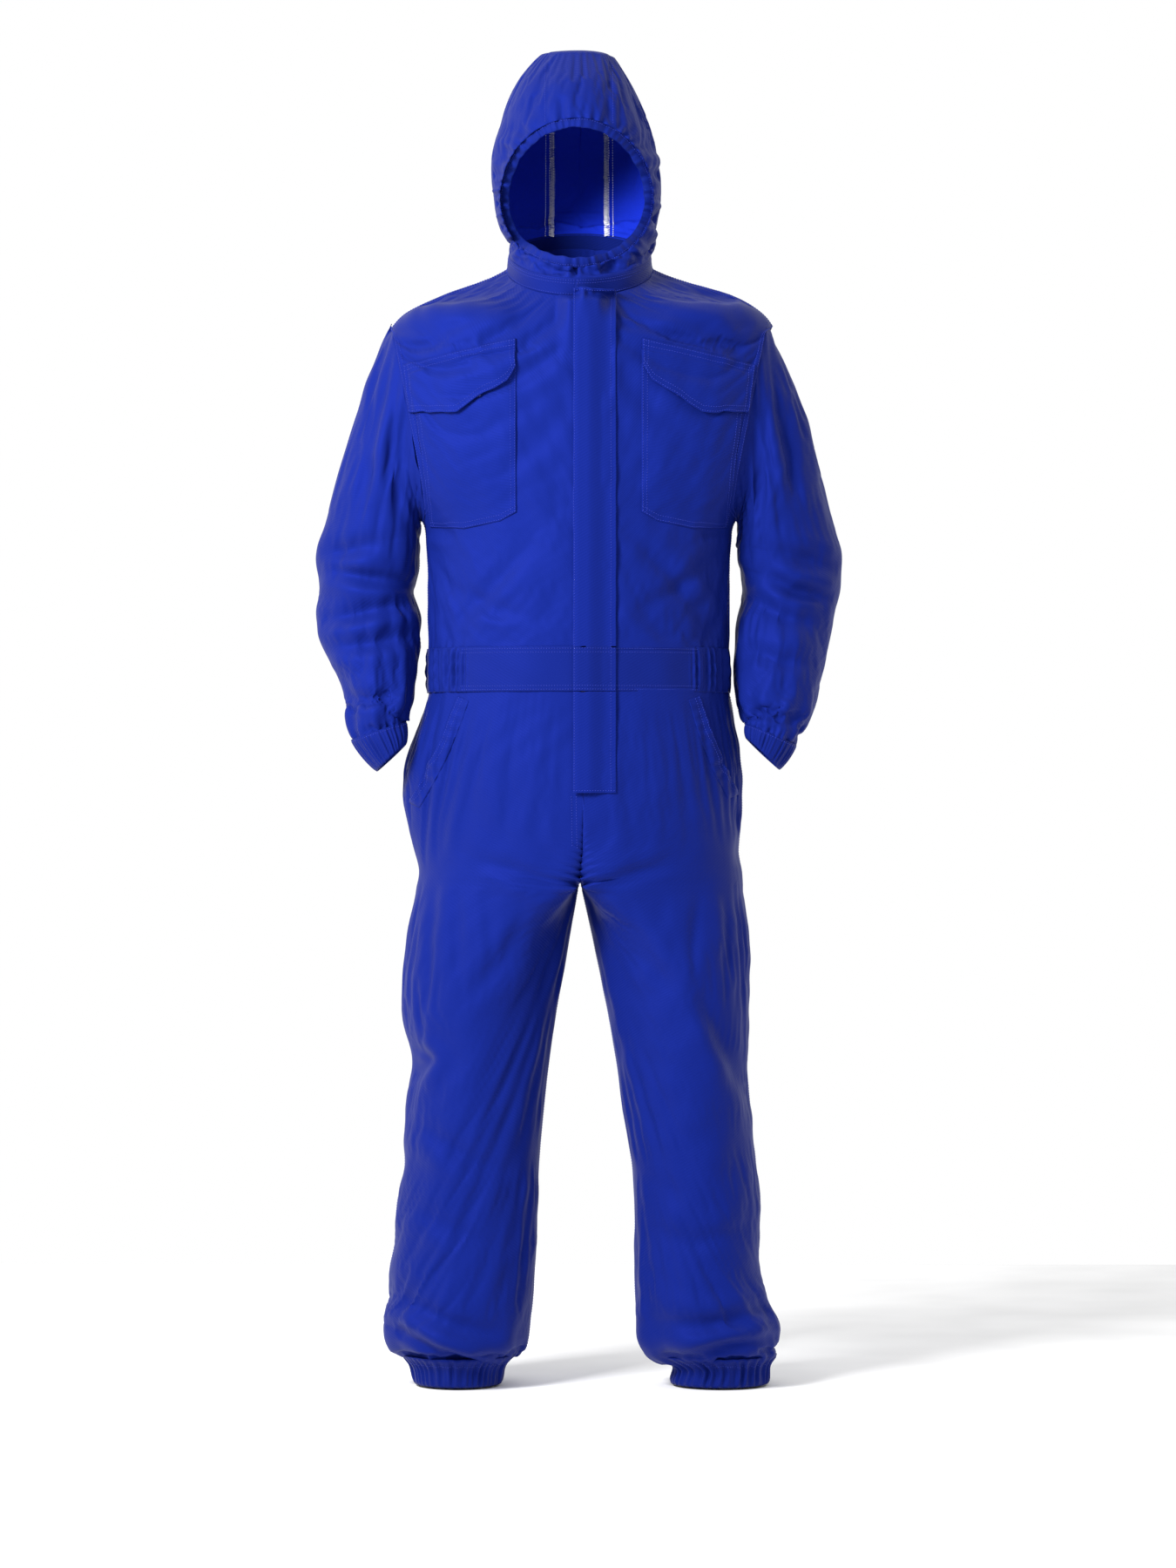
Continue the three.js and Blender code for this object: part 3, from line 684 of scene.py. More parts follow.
def legRing(side, height, share):
    inner, outer = alongProfile(legEdges[side], height)
    front, rear = alongProfile(legDepths, height)
    (square,) = alongProfile(legSquare, height)
    square = np.clip(square, 0, 1)
    h = np.clip(height - crotch, 0, 80)
    cut = 0.25 * np.sqrt(np.clip(1 - (1 - h / 80) ** 2, 0, 1))
    t = cut + share * (1 - 2 * cut)
    depth = np.where(t < 0.5, -front, rear)
    oval = np.stack([(inner + outer) / 2 - (outer - inner) / 2 * np.cos(2 * np.pi * t),
                     depth * np.abs(np.sin(2 * np.pi * t))], -1)
    fold = np.where(t < 0.5, t, 1 - t)
    psi = np.clip((fold - 0.25) / 0.25, 0, 1) * np.pi / 2
    flat = np.stack([np.where(fold < 0.25, inner, inner + (outer - inner) * np.sin(psi)),
                     depth * np.where(fold < 0.25, fold / 0.25, np.cos(psi))], -1)
    both = oval + (flat - oval) * square[..., None]
    return np.stack([side * both[..., 0], both[..., 1], height + 0 * t], -1)


def legGrid(side):
    u = np.linspace(0, 1, trousers["rows"])
    height = np.interp(u, [0, 0.85, 1], [waistBottom + 4, -1270, -1352])
    share = np.linspace(0, 1, trousers["cols"])
    grid = legRing(side, height[:, None] + 0 * share[None], share[None] + 0 * height[:, None])
    below = height < crotch - 4
    for _ in range(8):
        ring = grid[below]
        soft = ring.copy()
        soft[:, 1:-1] = (ring[:, :-2] + 2 * ring[:, 1:-1] + ring[:, 2:]) / 4
        soft[:, 0] = soft[:, -1] = (ring[:, -2] + 2 * ring[:, 0] + ring[:, 1]) / 4
        grid[below] = soft
    return grid


# hood: height, right half width, left half width, front, back
hoodSections = [
    (-24, 80, 82, 100, 78), (-10, 80, 82, 99, 79), (11, 83, 86, 101, 84), (33, 87, 95, 104, 88),
    (54, 98, 97, 107, 93),
    (76, 104, 100, 109, 101), (97, 106, 102, 111, 110), (119, 109, 102, 112, 116), (141, 109, 97, 112, 121),
    (162, 105, 96, 111, 124), (184, 97, 90, 108, 122), (205, 93, 82, 101, 114), (227, 84, 72, 90, 99),
    (249, 72, 57, 66, 76), (261, 60, 46, 50, 58), (266.5, 46, 34, 36, 42), (268, 24, 18, 20, 22),
    (268.6, 3, 3, 3, 3),
]
hood = {"rows": 84, "cols": 145, "fine": (2, 2), "faceMiddle": (-3.0, 84.0), "faceSize": (93.0, 88.5)}


def hoodGrid():
    table = np.array(hoodSections, float)
    order = np.argsort(table[:, 0])
    table = table[order]
    far = np.concatenate([[0], np.cumsum(np.hypot(np.diff(table[:, 0]), np.diff(table[:, 3])))])
    profile = np.concatenate([far[:, None], table], axis=1)
    angle = np.pi + 2 * np.pi * np.linspace(0, 1, hood["cols"])[None, :]
    seam = neckPoint(angle, neck["height"] - 2)
    t = np.linspace(0, 1, hood["rows"])[:, None]
    startFar = np.interp(seam[..., 2], table[:, 0], far)
    u = startFar + (far[-1] - startFar) * t
    z, right, left, front, rear = alongProfile(profile, u)
    width = np.where(np.sin(angle) > 0, left, right)
    depth = np.where(np.cos(angle) > 0, front, rear)
    grid = np.stack([width * np.sin(angle), -depth * np.cos(angle), z], -1)
    return grid + (seam - grid[:1]) * (1 - smoothStep(t, 0, 0.16))[..., None]


sleeves = {side: sleeveGrid(side) for side in (1, -1)}
legs = {side: legGrid(side) for side in (1, -1)}
hoodRings = hoodGrid()
print("outlines laid out", frontLeft.shape, sleeves[1].shape, legs[1].shape, hoodRings.shape)


# draping
def patternOf(grid, strains, wide):
    # the cloth as cut: longer than the shape that it hangs in, by a share that depends on height
    heights = np.linspace(grid[..., 2].min() - 5, grid[..., 2].max() + 5, 400)
    table = np.array(sorted(strains), float)
    share = np.interp(heights, table[:, 0], table[:, 1])
    long = np.concatenate([[0], np.cumsum((1 + share[1:]) * np.diff(heights))])
    out = grid.copy()
    centre = grid[..., :2].mean(axis=1, keepdims=True)
    wider = np.interp(grid[..., 2], np.array(sorted(wide))[:, 0], np.array(sorted(wide))[:, 1])
    out[..., :2] = centre + (grid[..., :2] - centre) * (1 + wider[..., None])
    out[..., 2] = np.interp(grid[..., 2], heights, long)
    return out


def settle(name, grids, strains, wide, holds, frames, limit=22):
    rng = np.random.default_rng(5)
    shaken = []
    for grid, hold in zip(grids, holds):
        wave = swell(grid, int(rng.integers(1000)), 60, 0.5)[..., None]
        shaken.append(grid + wave * (hold < 0.999)[..., None] * np.array([0.6, 0.8, 0.1]))
    out = drape(shaken, [patternOf(g, strains, wide) for g in grids], holds, frames, limit)
    moved = max(np.linalg.norm(a - b, axis=2).max() for a, b in zip(out, grids))
    print("draped", name, "moved up to", round(float(moved), 1), "mm")
    return out


def heldEdges(grid, edges, weight):
    hold = np.full(grid.shape[:2], weight)
    for edge, reach in edges:
        hold = np.maximum(hold, np.where(edgeDistance(grid, edge) <= reach, 1.0, 0.0))
    return hold


foldDepth = {"bodice": (1.2, 2.1), "sleeve": (1.45, 3.3), "trousers": (1.3, 2.6), "hood": (1.15, 2.2)}
drapeLook = {"bodiceHold": 0.29, "sleeveHold": 0.27, "legHold": 0.28, "frames": 18}
smoothBodice = [frontLeft, frontRight, back]
bodiceHolds = [heldEdges(frontLeft, [("top", 2), ("first", 42), ("last", 4), ("bottom", 4)],
                         drapeLook["bodiceHold"]),
               heldEdges(frontRight, [("top", 2), ("first", 14), ("last", 4), ("bottom", 4)],
                         drapeLook["bodiceHold"]),
               heldEdges(back, [("top", 2), ("first", 4), ("last", 4), ("bottom", 4)],
                         drapeLook["bodiceHold"])]
frontLeft, frontRight, back = settle(
    "bodice", [frontLeft, frontRight, back],
    [(-480, 0.055), (-400, 0.04), (-320, 0.03), (-200, 0.018), (-60, 0.012), (60, 0.01)],
    [(-480, 0.05), (-420, 0.025), (-300, 0.015), (60, 0.01)], bodiceHolds, drapeLook["frames"])
for drapedPanel, smoothPanel in zip((frontLeft, frontRight, back), smoothBodice):
    height = smoothPanel[..., 2]
    calm = np.exp(-(((height + 60) / 20) ** 4)) * smoothStep(np.abs(smoothPanel[..., 0]), 70, 120)
    drapedPanel += (smoothPanel - drapedPanel) * calm[..., None]  # the shoulder point stays calm
for side in (1, -1):
    sleeves[side], = settle(
        "sleeve", [sleeves[side]],
        [(-620, 0.16), (-560, 0.11), (-500, 0.08), (-420, 0.12), (-360, 0.10), (-250, 0.05), (-100, 0.03)],
        [(-620, 0.14), (-570, 0.06), (-400, 0.02), (-100, 0.015)],
        [heldEdges(sleeves[side], [("top", 4), ("bottom", 4)], drapeLook["sleeveHold"])],
        drapeLook["frames"], 16)
legHolds = [heldEdges(legs[s], [("top", 3), ("bottom", 4)], drapeLook["legHold"]) for s in (1, -1)]
for side, hold in zip((1, -1), legHolds):
    seam = (legs[side][..., 2] > crotch - 6) & ((edgeDistance(legs[side], "first") < 30)
                                                | (edgeDistance(legs[side], "last") < 2))
    hold[seam] = 1.0
legs[1], legs[-1] = settle(
    "trousers", [legs[1], legs[-1]],
    [(-1380, 0.2), (-1320, 0.13), (-1250, 0.06), (-1100, 0.045), (-1000, 0.05), (-800, 0.035), (-600, 0.02),
     (-520, 0.03)],
    [(-1380, 0.16), (-1320, 0.08), (-1200, 0.02), (-600, 0.015), (-520, 0.05)], legHolds,
    drapeLook["frames"])
for column in (0, -1):
    if legs[1][6, column, 1] > 0:
        above = legs[1][:, column, 2] > crotch - 2
        seamLine = (legs[1][:, column] + legs[-1][:, column]) / 2
        legs[1][above, column] = legs[-1][above, column] = seamLine[above]  # the back seam is closed
# finer cloth: seams, gathers and fold lines on the draped shapes
seamLook = {"fold": 0.7, "foldWidth": 9.0, "swell": 0.7, "swellLength": 55}
pieces = {}
runs = {}
paleRuns = []


def raised(grid, inside, closed, seams, gathers=(), creases=(), seed=1, extra=None, swells=None):
    # fine grid, with a doubled strip at each seam, gathers at elastic edges and named folds
    normals, _ = facing(grid, inside, closed)
    lift = swell(grid, seed, seamLook["swellLength"], seamLook["swell"] if swells is None else swells)
    for edge, reach in [(e, 22.0) for e, _ in seams] + [(e, 22.0) for e, *_ in gathers]:
        lift *= smoothStep(edgeDistance(grid, edge), 0, reach)
    for edge, height in seams:
        lift = lift + height * (1 - smoothStep(edgeDistance(grid, edge), seamLook["foldWidth"] - 1.5,
                                               seamLook["foldWidth"]))
    for edge, count, height, fade, mask in gathers:
        d = edgeDistance(grid, edge)
        share = np.linspace(0, 1, grid.shape[1])[None, :] + 0 * d
        if edge in ("first", "last"):
            share = np.linspace(0, 1, grid.shape[0])[:, None] + 0 * d
        fine = ripple(share, count, seed + 7) * np.exp(-d / (fade * 0.45))
        broad = ripple(share + 0.002 * np.sin(d / 9), count / 3.2,
                       seed + 8) * (d / fade) * np.exp(1 - d / fade) * 1.5
        lift = lift + height * (fine + broad) * (mask(grid) if mask else 1)
    for path, width, depth in creases:
        lift = lift + crease(grid, normals, path, width, depth)
    if extra is not None:
        lift = lift + extra(grid)
    moved = grid + normals * lift[..., None]
    return moved, facing(moved, inside, closed)[0]


def spine(grid):
    # the point inside the body, level with a panel's middle
    return grid.mean(axis=(0, 1)) * [0, 0, 1]


def ringMiddle(grid):
    return grid[:, :-1].mean(axis=1, keepdims=True)


def addPiece(name, grid, inside, finish, nodes, closed=False, thickness=0.8, missing=None,
             lined=None):
    obj = panel(f"cloth_{name}", grid, inside, finish, thickness, closed, missing, lined)
    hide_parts(*nodes)
    pieces[name] = obj
    return obj


def addRun(group, run):
    runs.setdefault(group, []).append(run)


fineness = None


def finer(grid, settings):
    return refine(grid, *(fineness or settings["fine"]))


# bodice
frontCreases = {
    1: [([(34, -70), (35, -110), (37, -172)], 4.5, 1.6), ([(60, -330), (110, -380), (165, -452)], 9, 2.2),
        ([(70, -430), (120, -400), (178, -350)], 8, 1.8), ([(150, -335), (182, -322)], 6, 2.0),
        ([(110, -64), (160, -84), (214, -120)], 9, 1.6)],
    -1: [([(-60, -345), (-110, -400), (-160, -450)], 9, 2.0),
         ([(-50, -440), (-110, -420), (-180, -380)], 8, 1.6),
         ([(-150, -335), (-184, -322)], 6, 2.0), ([(-108, -64), (-160, -82), (-210, -112)], 9, 1.6)],
}


def sideOnly(inner, outer):
    return lambda grid: smoothStep(np.abs(grid[..., 0]), inner, outer)


def sewn(a, b):
    # both panels meet at the middle wherever their edges lie together
    near = np.linalg.norm(a - b, axis=1) < 9
    middle = (a + b) / 2
    a[near], b[near] = middle[near], middle[near]


frontPanels = {}
tapeFront = low("zip_tape_left", 1) - 0.4
for side, name, grid in ((1, "left", frontLeft), (-1, "right", frontRight)):
    fine, normals = raised(finer(grid, bodice), spine(grid), False,
                           [("last", seamLook["fold"])], [("bottom", 17, 1.4, 20, sideOnly(128, 150))],
                           deepened(frontCreases[side], foldDepth["bodice"]), 11 + side)
    x = np.abs(fine[..., 0] - closureX)
    fine[..., 1] = np.where(x < 30, np.maximum(fine[..., 1], -125.2), fine[..., 1])
    overTape = (1 - smoothStep(x, 16, 34)) * smoothStep(-fine[..., 2], 36, 50)
    fine[..., 1] = np.where(overTape > 0, np.minimum(fine[..., 1], tapeFront * overTape + fine[..., 1]
                                                     * (1 - overTape)), fine[..., 1])
    frontPanels[side] = (fine, normals)
    for inset in (2.2, 8.0):
        addRun(f"bodice_{name}", edgeRun(fine, normals, "last", inset))
backFine, backNormals = raised(finer(back, bodice), spine(back), False,
                               [("first", seamLook["fold"]), ("last", seamLook["fold"])],
                               [("bottom", 62, 1.8, 26, None)], (), 31)
for side, name, edge in ((1, "left", -1), (-1, "right", 0)):
    fine, normals = frontPanels[side]
    sewn(fine[:, -1], backFine[:, edge])
    addPiece(f"bodice_front_{name}", fine, spine(fine), twill, [f"bodice_front_{name}"])
addPiece("bodice_back", backFine, spine(back), twill, ["bodice_back"])
for edge in ("first", "last"):
    for inset in (2.2, 8.0):
        addRun("bodice_back", edgeRun(backFine, backNormals, edge, inset))
print("bodice made")

# sleeves and their elastic cuffs
sleeveCreases = {
    1: [([(228, -380), (262, -398), (318, -408)], 7, 3.2),
        ([(206, -404), (250, -430), (300, -440)], 8, 2.6),
        ([(240, -350), (290, -362), (324, -372)], 8, 2.2),
        ([(206, -470), (250, -486), (296, -488)], 8, 2.0),
        ([(214, -180), (226, -250), (214, -318)], 8, 2.2),
        ([(250, -150), (262, -230), (262, -300)], 10, 1.8),
        ([(212, -545), (250, -560), (282, -562)], 6, 1.8)],
    -1: [([(-206, -389), (-258, -384), (-320, -370)], 7, 3.2),
         ([(-200, -410), (-262, -424), (-322, -436)], 8, 3.0),
         ([(-204, -452), (-250, -462), (-316, -470)], 8, 2.4),
         ([(-240, -340), (-290, -350), (-324, -352)], 8, 2.2),
         ([(-214, -180), (-226, -250), (-212, -318)], 8, 2.2),
         ([(-250, -150), (-266, -230), (-262, -296)], 10, 1.8),
         ([(-214, -520), (-250, -532), (-294, -530)], 6, 1.8)],
}
for side, name in ((1, "left"), (-1, "right")):
    grid = finer(sleeves[side], sleeve)
    middle = ringMiddle(grid)
    fine, normals = raised(grid, middle, True, [], [("bottom", 22, 2.0, 26, None)],
                           deepened(sleeveCreases[side], foldDepth["sleeve"]), 51 + side)
    inset = 1 - smoothStep(edgeDistance(fine, "top"), 0, 10)
    fine = fine - normals * (inset * 0.9)[..., None]
    fine[:, -1] = fine[:, 0]
    addPiece(f"sleeve_{name}", fine, ringMiddle(fine), twill, [f"sleeve_{name}"], True)
    for shift in (1.2, -1.2):
        column = fine.shape[1] * 0.06 + shift
        addRun(f"sleeve_{name}", gridRun(fine, normals, [2, fine.shape[0] - 4], [column, column]))
    theta = np.pi + 2 * np.pi * np.linspace(0, 1, sleeve["cuffCols"])
    end = sleeveStations[side][-1]
    before = [a + (a - b) * 0.25 for a, b in zip(end, cuffEnds[side])]
    rings = [stationRing(side, row, theta) for row in (before, end, cuffEnds[side])]
    cuffGrid = smoothRings(rings, sleeve["cuffRows"])
    centre = ringMiddle(cuffGrid)
    out, _ = facing(cuffGrid, centre, True)
    belly = np.sin(np.pi * np.linspace(0, 1, sleeve["cuffRows"]))[:, None] ** 0.6
    share = np.linspace(0, 1, sleeve["cuffCols"])[None, :]
    cuffLift = 1.2 + belly * (1.6 + 1.5 * ripple(share, 34, 60 + side))
    cuffGrid = cuffGrid + out * cuffLift[..., None]
    cuffGrid[:, -1] = cuffGrid[:, 0]
    addPiece(f"cuff_{name}", cuffGrid, ringMiddle(cuffGrid), bandTwill,
             [f"cuff_{name}", f"cuff_elastic_{name}"], True, 1.6)
    addRun(f"sleeve_{name}", edgeRun(cuffGrid, out, "top", 3.0))
print("sleeves made")

# trousers and their elastic hems
legCreases = {
    1: [([(213, -1031), (180, -955), (146, -885)], 10, 3.0),
        ([(124, -1339), (185, -1326), (248, -1317)], 7, 3.0),
        ([(90, -1296), (150, -1300), (240, -1280)], 9, 2.4),
        ([(60, -800), (90, -860), (120, -900)], 10, 1.6),
        ([(20, -770), (70, -745), (120, -735)], 8, 1.8),
        ([(80, -1180), (140, -1200), (214, -1180)], 10, 1.6),
        ([(196, -650), (205, -700), (196, -745)], 7, 1.8)],
    -1: [([(-202, -956), (-186, -975), (-204, -1004)], 7, 2.6),
         ([(-238, -1301), (-170, -1334), (-108, -1360)], 7, 3.2),
         ([(-84, -1316), (-150, -1300), (-226, -1262)], 9, 2.4),
         ([(-60, -800), (-90, -850), (-140, -905)], 10, 1.8),
         ([(-20, -770), (-70, -745), (-124, -730)], 8, 1.8),
         ([(-70, -1120), (-130, -1100), (-204, -1050)], 10, 1.8),
         ([(-80, -1216), (-140, -1190), (-212, -1150)], 10, 1.4)],
}
legPanels = {}
for side, name in ((1, "left"), (-1, "right")):
    grid = finer(legs[side], trousers)
    middle = np.stack([0 * grid[:, :1, 0] + side * 105, 0 * grid[:, :1, 0], grid[:, :1, 2]], -1)
    closedBelow = grid[:, 0, 2] < crotch - 1
    fine, normals = raised(grid, middle, False, [("first", 0.0), ("last", 0.0)],
                           [("bottom", 26, 2.4, 34, None),
                            ("top", 22, 1.2, 20, lambda g: np.maximum(smoothStep(g[..., 1], -20, 10),
                                                                      sideOnly(140, 165)(g)))],
                           deepened(legCreases[side], foldDepth["trousers"]), 81 + side)
    fine[closedBelow, -1] = fine[closedBelow, 0] = (fine[closedBelow, 1] + fine[closedBelow, -2]) / 2
    seamX = fine[..., 0]
    foldLine = np.exp(-(((seamX + 7) / 1.6) ** 2)) * (fine[..., 1] < -60) * smoothStep(-fine[..., 2], 640,
                                                                                       650)
    fine = fine - normals * (0.7 * foldLine)[..., None]
    legPanels[side] = (fine, normals)
    nodes = [f"{part}_{name}" for part in ("hip_front", "hip_back", "leg_front", "leg_back")]
    addPiece(f"trouser_{name}", fine, middle, twill, nodes)
    foot = fine.shape[0] - 4
    start = int(np.argmax(closedBelow)) + 2
    for shift in (1.0, 3.0):
        addRun(f"trouser_{name}", gridRun(fine, normals, [start, foot], [shift * 0.9, shift * 0.9]))
        addRun(f"trouser_{name}", gridRun(fine, normals, [2, foot], [fine.shape[1] / 2 + 2 + shift] * 2))
    height = np.linspace(-1343, hemEnds[side][0], trousers["hemRows"])
    share = np.linspace(0, 1, trousers["hemCols"])[None, :] + 0 * height[:, None]
    hemTable = [row for row in legEdges[side] if row[0] >= -1352] + [hemEnds[side]]
    kept = legEdges[side]
    legEdges[side] = hemTable
    hemGrid = legRing(side, height[:, None] + 0 * share, share)
    legEdges[side] = kept
    centre = ringMiddle(hemGrid)
    out, _ = facing(hemGrid, centre, True)
    belly = np.sin(np.pi * np.linspace(0, 1, trousers["hemRows"]))[:, None] ** 0.6
    hemGrid = hemGrid + out * (0.6 + belly * (1.6 + 1.7 * ripple(share, 40, 90 + side)))[..., None]
    hemGrid[:, -1] = hemGrid[:, 0]
    addPiece(f"hem_{name}", hemGrid, ringMiddle(hemGrid), bandTwill,
             [f"hem_{name}", f"hem_elastic_{name}"], True, 1.6)
    addRun(f"trouser_{name}", edgeRun(hemGrid, out, "top", 12.0))
print("trousers made")

# hood: one draped shell with sewn strip lines, and its gathered face casing
hoodHold = heldEdges(hoodRings, [("top", 8), ("bottom", 45)], 0.3)
hoodRings, = settle("hood", [hoodRings], [(-30, 0.03), (40, 0.05), (120, 0.03), (270, 0.02)],
                    [(-30, 0.05), (60, 0.035), (270, 0.015)], [hoodHold], 14, 8)
hoodFine = finer(hoodRings, hood)
faceX, faceZ = hood["faceMiddle"]
faceW, faceH = hood["faceSize"]


def faceDistance(points):
    # how far outside the face opening a point is, and which way round it, as seen from the front
    dx, dz = points[..., 0] - faceX, points[..., 2] - faceZ
    turn = np.arctan2(dz / faceH, dx / faceW)
    r = np.hypot(dx / faceW, dz / faceH)
    return (r - 1) * (faceW + faceH) / 2, turn


hoodMiddle = np.array([0.0, 8.0, 110.0])
hoodNormals, _ = facing(hoodFine, hoodMiddle, True)
away, turn = faceDistance(hoodFine)
isFront = hoodFine[..., 1] < -20
turnShare = turn / (2 * np.pi) + 0.5
tight = ripple(turnShare, 44, 101) * np.exp(-np.maximum(away, 0) / 9)
broad = ripple(turnShare + 0.004 * np.sin(away / 9), 17, 102) * np.exp(-((away - 15) / 15) ** 2)
hoodLift = np.where(isFront, 2.3 * tight + 2.7 * broad, 0.0)
outerSeam = np.abs(np.abs(hoodFine[..., 0]) - 37)
upper = smoothStep(hoodFine[..., 2], 20, 40)
hoodLift += upper * (0.6 * smoothStep(-np.abs(hoodFine[..., 0]), -37.4,
                                      -36.6) - 0.5 * np.exp(-(outerSeam / 1.4) ** 2))
hoodCreases = [([(-22, 205), (-20, 176), (-18, 160)], 4, 1.2), ([(60, 226), (80, 190), (96, 150)], 8, 1.6),
               ([(-86, 150), (-100, 120), (-96, 90)], 6, 1.6), ([(86, 66), (100, 60), (96, 28)], 6, 2.0),
               ([(-80, 10), (-60, -8), (-30, -22)], 5, 2.0), ([(80, 14), (56, -2), (24, -14)], 5, 2.2),
               ([(40, 250), (34, 200), (40, 170)], 5, 1.0), ([(-8, -34), (-5, -14), (-2, 6)], 3.5, 2.4),
               ([(-70, 24), (-44, -2), (-12, -20)], 4, 2.2), ([(70, 30), (50, 4), (8, -22)], 5, 2.4)]
for path, width, depth in deepened(hoodCreases, foldDepth["hood"]):
    hoodLift += crease(hoodFine, hoodNormals, path, width, depth)
hoodLift *= smoothStep(edgeDistance(hoodFine, "top"), 0, 12)
hoodFine = hoodFine + hoodNormals * hoodLift[..., None]
hoodFine[-1] = hoodFine[-1].mean(axis=0) + (hoodFine[-1] - hoodFine[-1].mean(axis=0)) * 0.02
hoodFine[:, -1] = hoodFine[:, 0]
hoodNormals, _ = facing(hoodFine, hoodMiddle, True)
cells = (hoodFine[:-1, :-1] + hoodFine[1:, 1:]) / 2
opening = (faceDistance(cells)[0] < 1.5) & (cells[..., 1] < -20)
# the corners along the cut edge are moved on to a smooth oval
oval = faceDistance(hoodFine)[0] - 1.5
besideKept, besideCut = np.zeros(oval.shape, bool), np.zeros(oval.shape, bool)
for i, j in ((0, 0), (0, 1), (1, 0), (1, 1)):
    part = np.s_[i:i + opening.shape[0], j:j + opening.shape[1]]
    besideKept[part] |= ~opening
    besideCut[part] |= opening
shortest = np.full(oval.shape, 1e9)
trimmed = hoodFine.copy()
for i, j in ((0, 1), (0, -1), (1, 0), (-1, 0), (1, 1), (1, -1), (-1, 1), (-1, -1)):
    other, otherOval = np.roll(hoodFine, (i, j), axis=(0, 1)), np.roll(oval, (i, j), axis=(0, 1))
    crosses = besideKept & besideCut & (oval * otherOval < 0)
    share = np.where(crosses, oval / np.where(crosses, oval - otherOval, 1), 0) * 0.98
    step = (other - hoodFine) * share[..., None]
    length = np.linalg.norm(step, axis=2)
    nearer = crosses & (length < shortest)
    trimmed[nearer] = (hoodFine + step)[nearer]
    shortest[nearer] = length[nearer]
hoodFine = trimmed
# the hood's inside takes the twill copy painted lighter, painted light in its shade
addPiece("hood_shell", hoodFine, hoodMiddle, twill, ["hood_centre", "hood_side_left", "hood_side_right"],
         True, missing=opening, lined=insideTwillPaintedLight)

hoodTree = BVHTree.FromPolygons([tuple(p) for p in hoodFine.reshape(-1, 3)],
                                [tuple(int(i) for i in f) for f in gridFaces(*hoodFine.shape[:2])])
rim = {"cols": 560, "rows": 22, "width": 13.0, "thick": 4.6, "pleats": 62}
turnAt = np.linspace(0, 2 * np.pi, rim["cols"])
ringX, ringZ = faceX + (faceW - 3.5) * np.cos(turnAt), faceZ + (faceH - 3.5) * np.sin(turnAt)
ringY = np.zeros(rim["cols"])
for k in range(rim["cols"]):
    x = faceX + (faceW + 6) * math.cos(turnAt[k])
    z = faceZ + (faceH + 6) * math.sin(turnAt[k])
    hit = hoodTree.ray_cast(Vector((x, -400, z)), Vector((0, 1, 0)))[0]
    ringY[k] = hit[1] if hit is not None else -90
kernel = np.hanning(41) / np.hanning(41).sum()
ringY = np.convolve(np.concatenate([ringY[-61:-1], ringY, ringY[1:61]]), kernel, "same")[60:-60]
centre = np.stack([ringX, ringY + 0.5, ringZ], -1)
outwardDir = np.stack([np.cos(turnAt), 0.25 + 0 * turnAt, np.sin(turnAt)], -1)
outwardDir /= np.linalg.norm(outwardDir, axis=1, keepdims=True)
forward = np.array([0.0, -1.0, 0.0]) - outwardDir * (-outwardDir[:, [1]])
forward /= np.linalg.norm(forward, axis=1, keepdims=True)
around = np.linspace(0.25, 2 * np.pi - 0.25, rim["rows"])[:, None]
pleat = ripple(turnAt[None] / (2 * np.pi), rim["pleats"], 111)
deep = ripple(turnAt[None] / (2 * np.pi), rim["pleats"] / 3, 112)
wide = rim["width"] / 2 * (1 + 0.10 * deep)
thick = rim["thick"] / 2 * (1 + 0.42 * pleat * (0.4 + 0.6 * np.abs(np.cos(around))) + 0.2 * deep)
rimGrid = (centre[None] + outwardDir[None] * (wide * np.cos(around))[..., None]
           + forward[None] * (thick * np.sin(around) + 0.5 * pleat)[..., None])
rimGrid[:, -1] = rimGrid[:, 0]
addPiece("hood_rim", rimGrid, centre[None], bandTwill, ["hood_rim", "hood_elastic"], True, 0.5)
rimNormals, _ = facing(rimGrid, centre[None], True)
for row in (3.0,):
    addRun("hood", gridRun(rimGrid, rimNormals, [row, row], [0, rim["cols"] - 1], 0.3))

# outside seams of the hood's strip, and the white overlock inside
backTree = BVHTree.FromPolygons([tuple(p) for p in hoodFine.reshape(-1, 3)],
                                [tuple(int(i) for i in f) for f in gridFaces(*hoodFine.shape[:2])])


def castRun(tree, path, direction, start, lift):
    points, out = [], []
    for x, z in path:
        origin = Vector((x, start, z))
        hit, normal, _, _ = tree.ray_cast(origin, Vector(direction))
        if hit is not None:
            normal = normal if normal.dot(Vector(direction)) < 0 else -normal
            points.append(np.array(hit) + np.array(normal) * lift)
            out.append(np.array(normal))
    return np.array(points), np.array(out)


def line(a, b, count=60):
    return [(a[0] + (b[0] - a[0]) * t, a[1] + (b[1] - a[1]) * t) for t in np.linspace(0, 1, count)]


for x in (-41.5, 41.5):
    addRun("hood", castRun(hoodTree, line((x, 250), (x, 168)), (0, 1, 0), -400, 0.3))
    addRun("hood", castRun(hoodTree, line((x, 250), (x, 60)), (0, -1, 0), 400, 0.3))
for x, turn in ((-35.5, 1), (35.5, -1)):
    seamPoints, seamNormals = castRun(backTree, line((x, 186), (x, -6), 240), (0, 1, 0), 0, 2.3)
    zig = []
    for k, point in enumerate(seamPoints):
        zig.append(point + np.array([3.0 if k % 2 else -3.0, 0, 0]))
    paleRuns.append(("zig", np.array(zig), seamNormals))
    for dx in (-2.4, 2.4, 7.5 * -turn):
        points, out = castRun(backTree, line((x + dx, 186), (x + dx, -6), 120), (0, 1, 0), 0, 1.6)
        paleRuns.append(("line", points, out))
print("hood made")
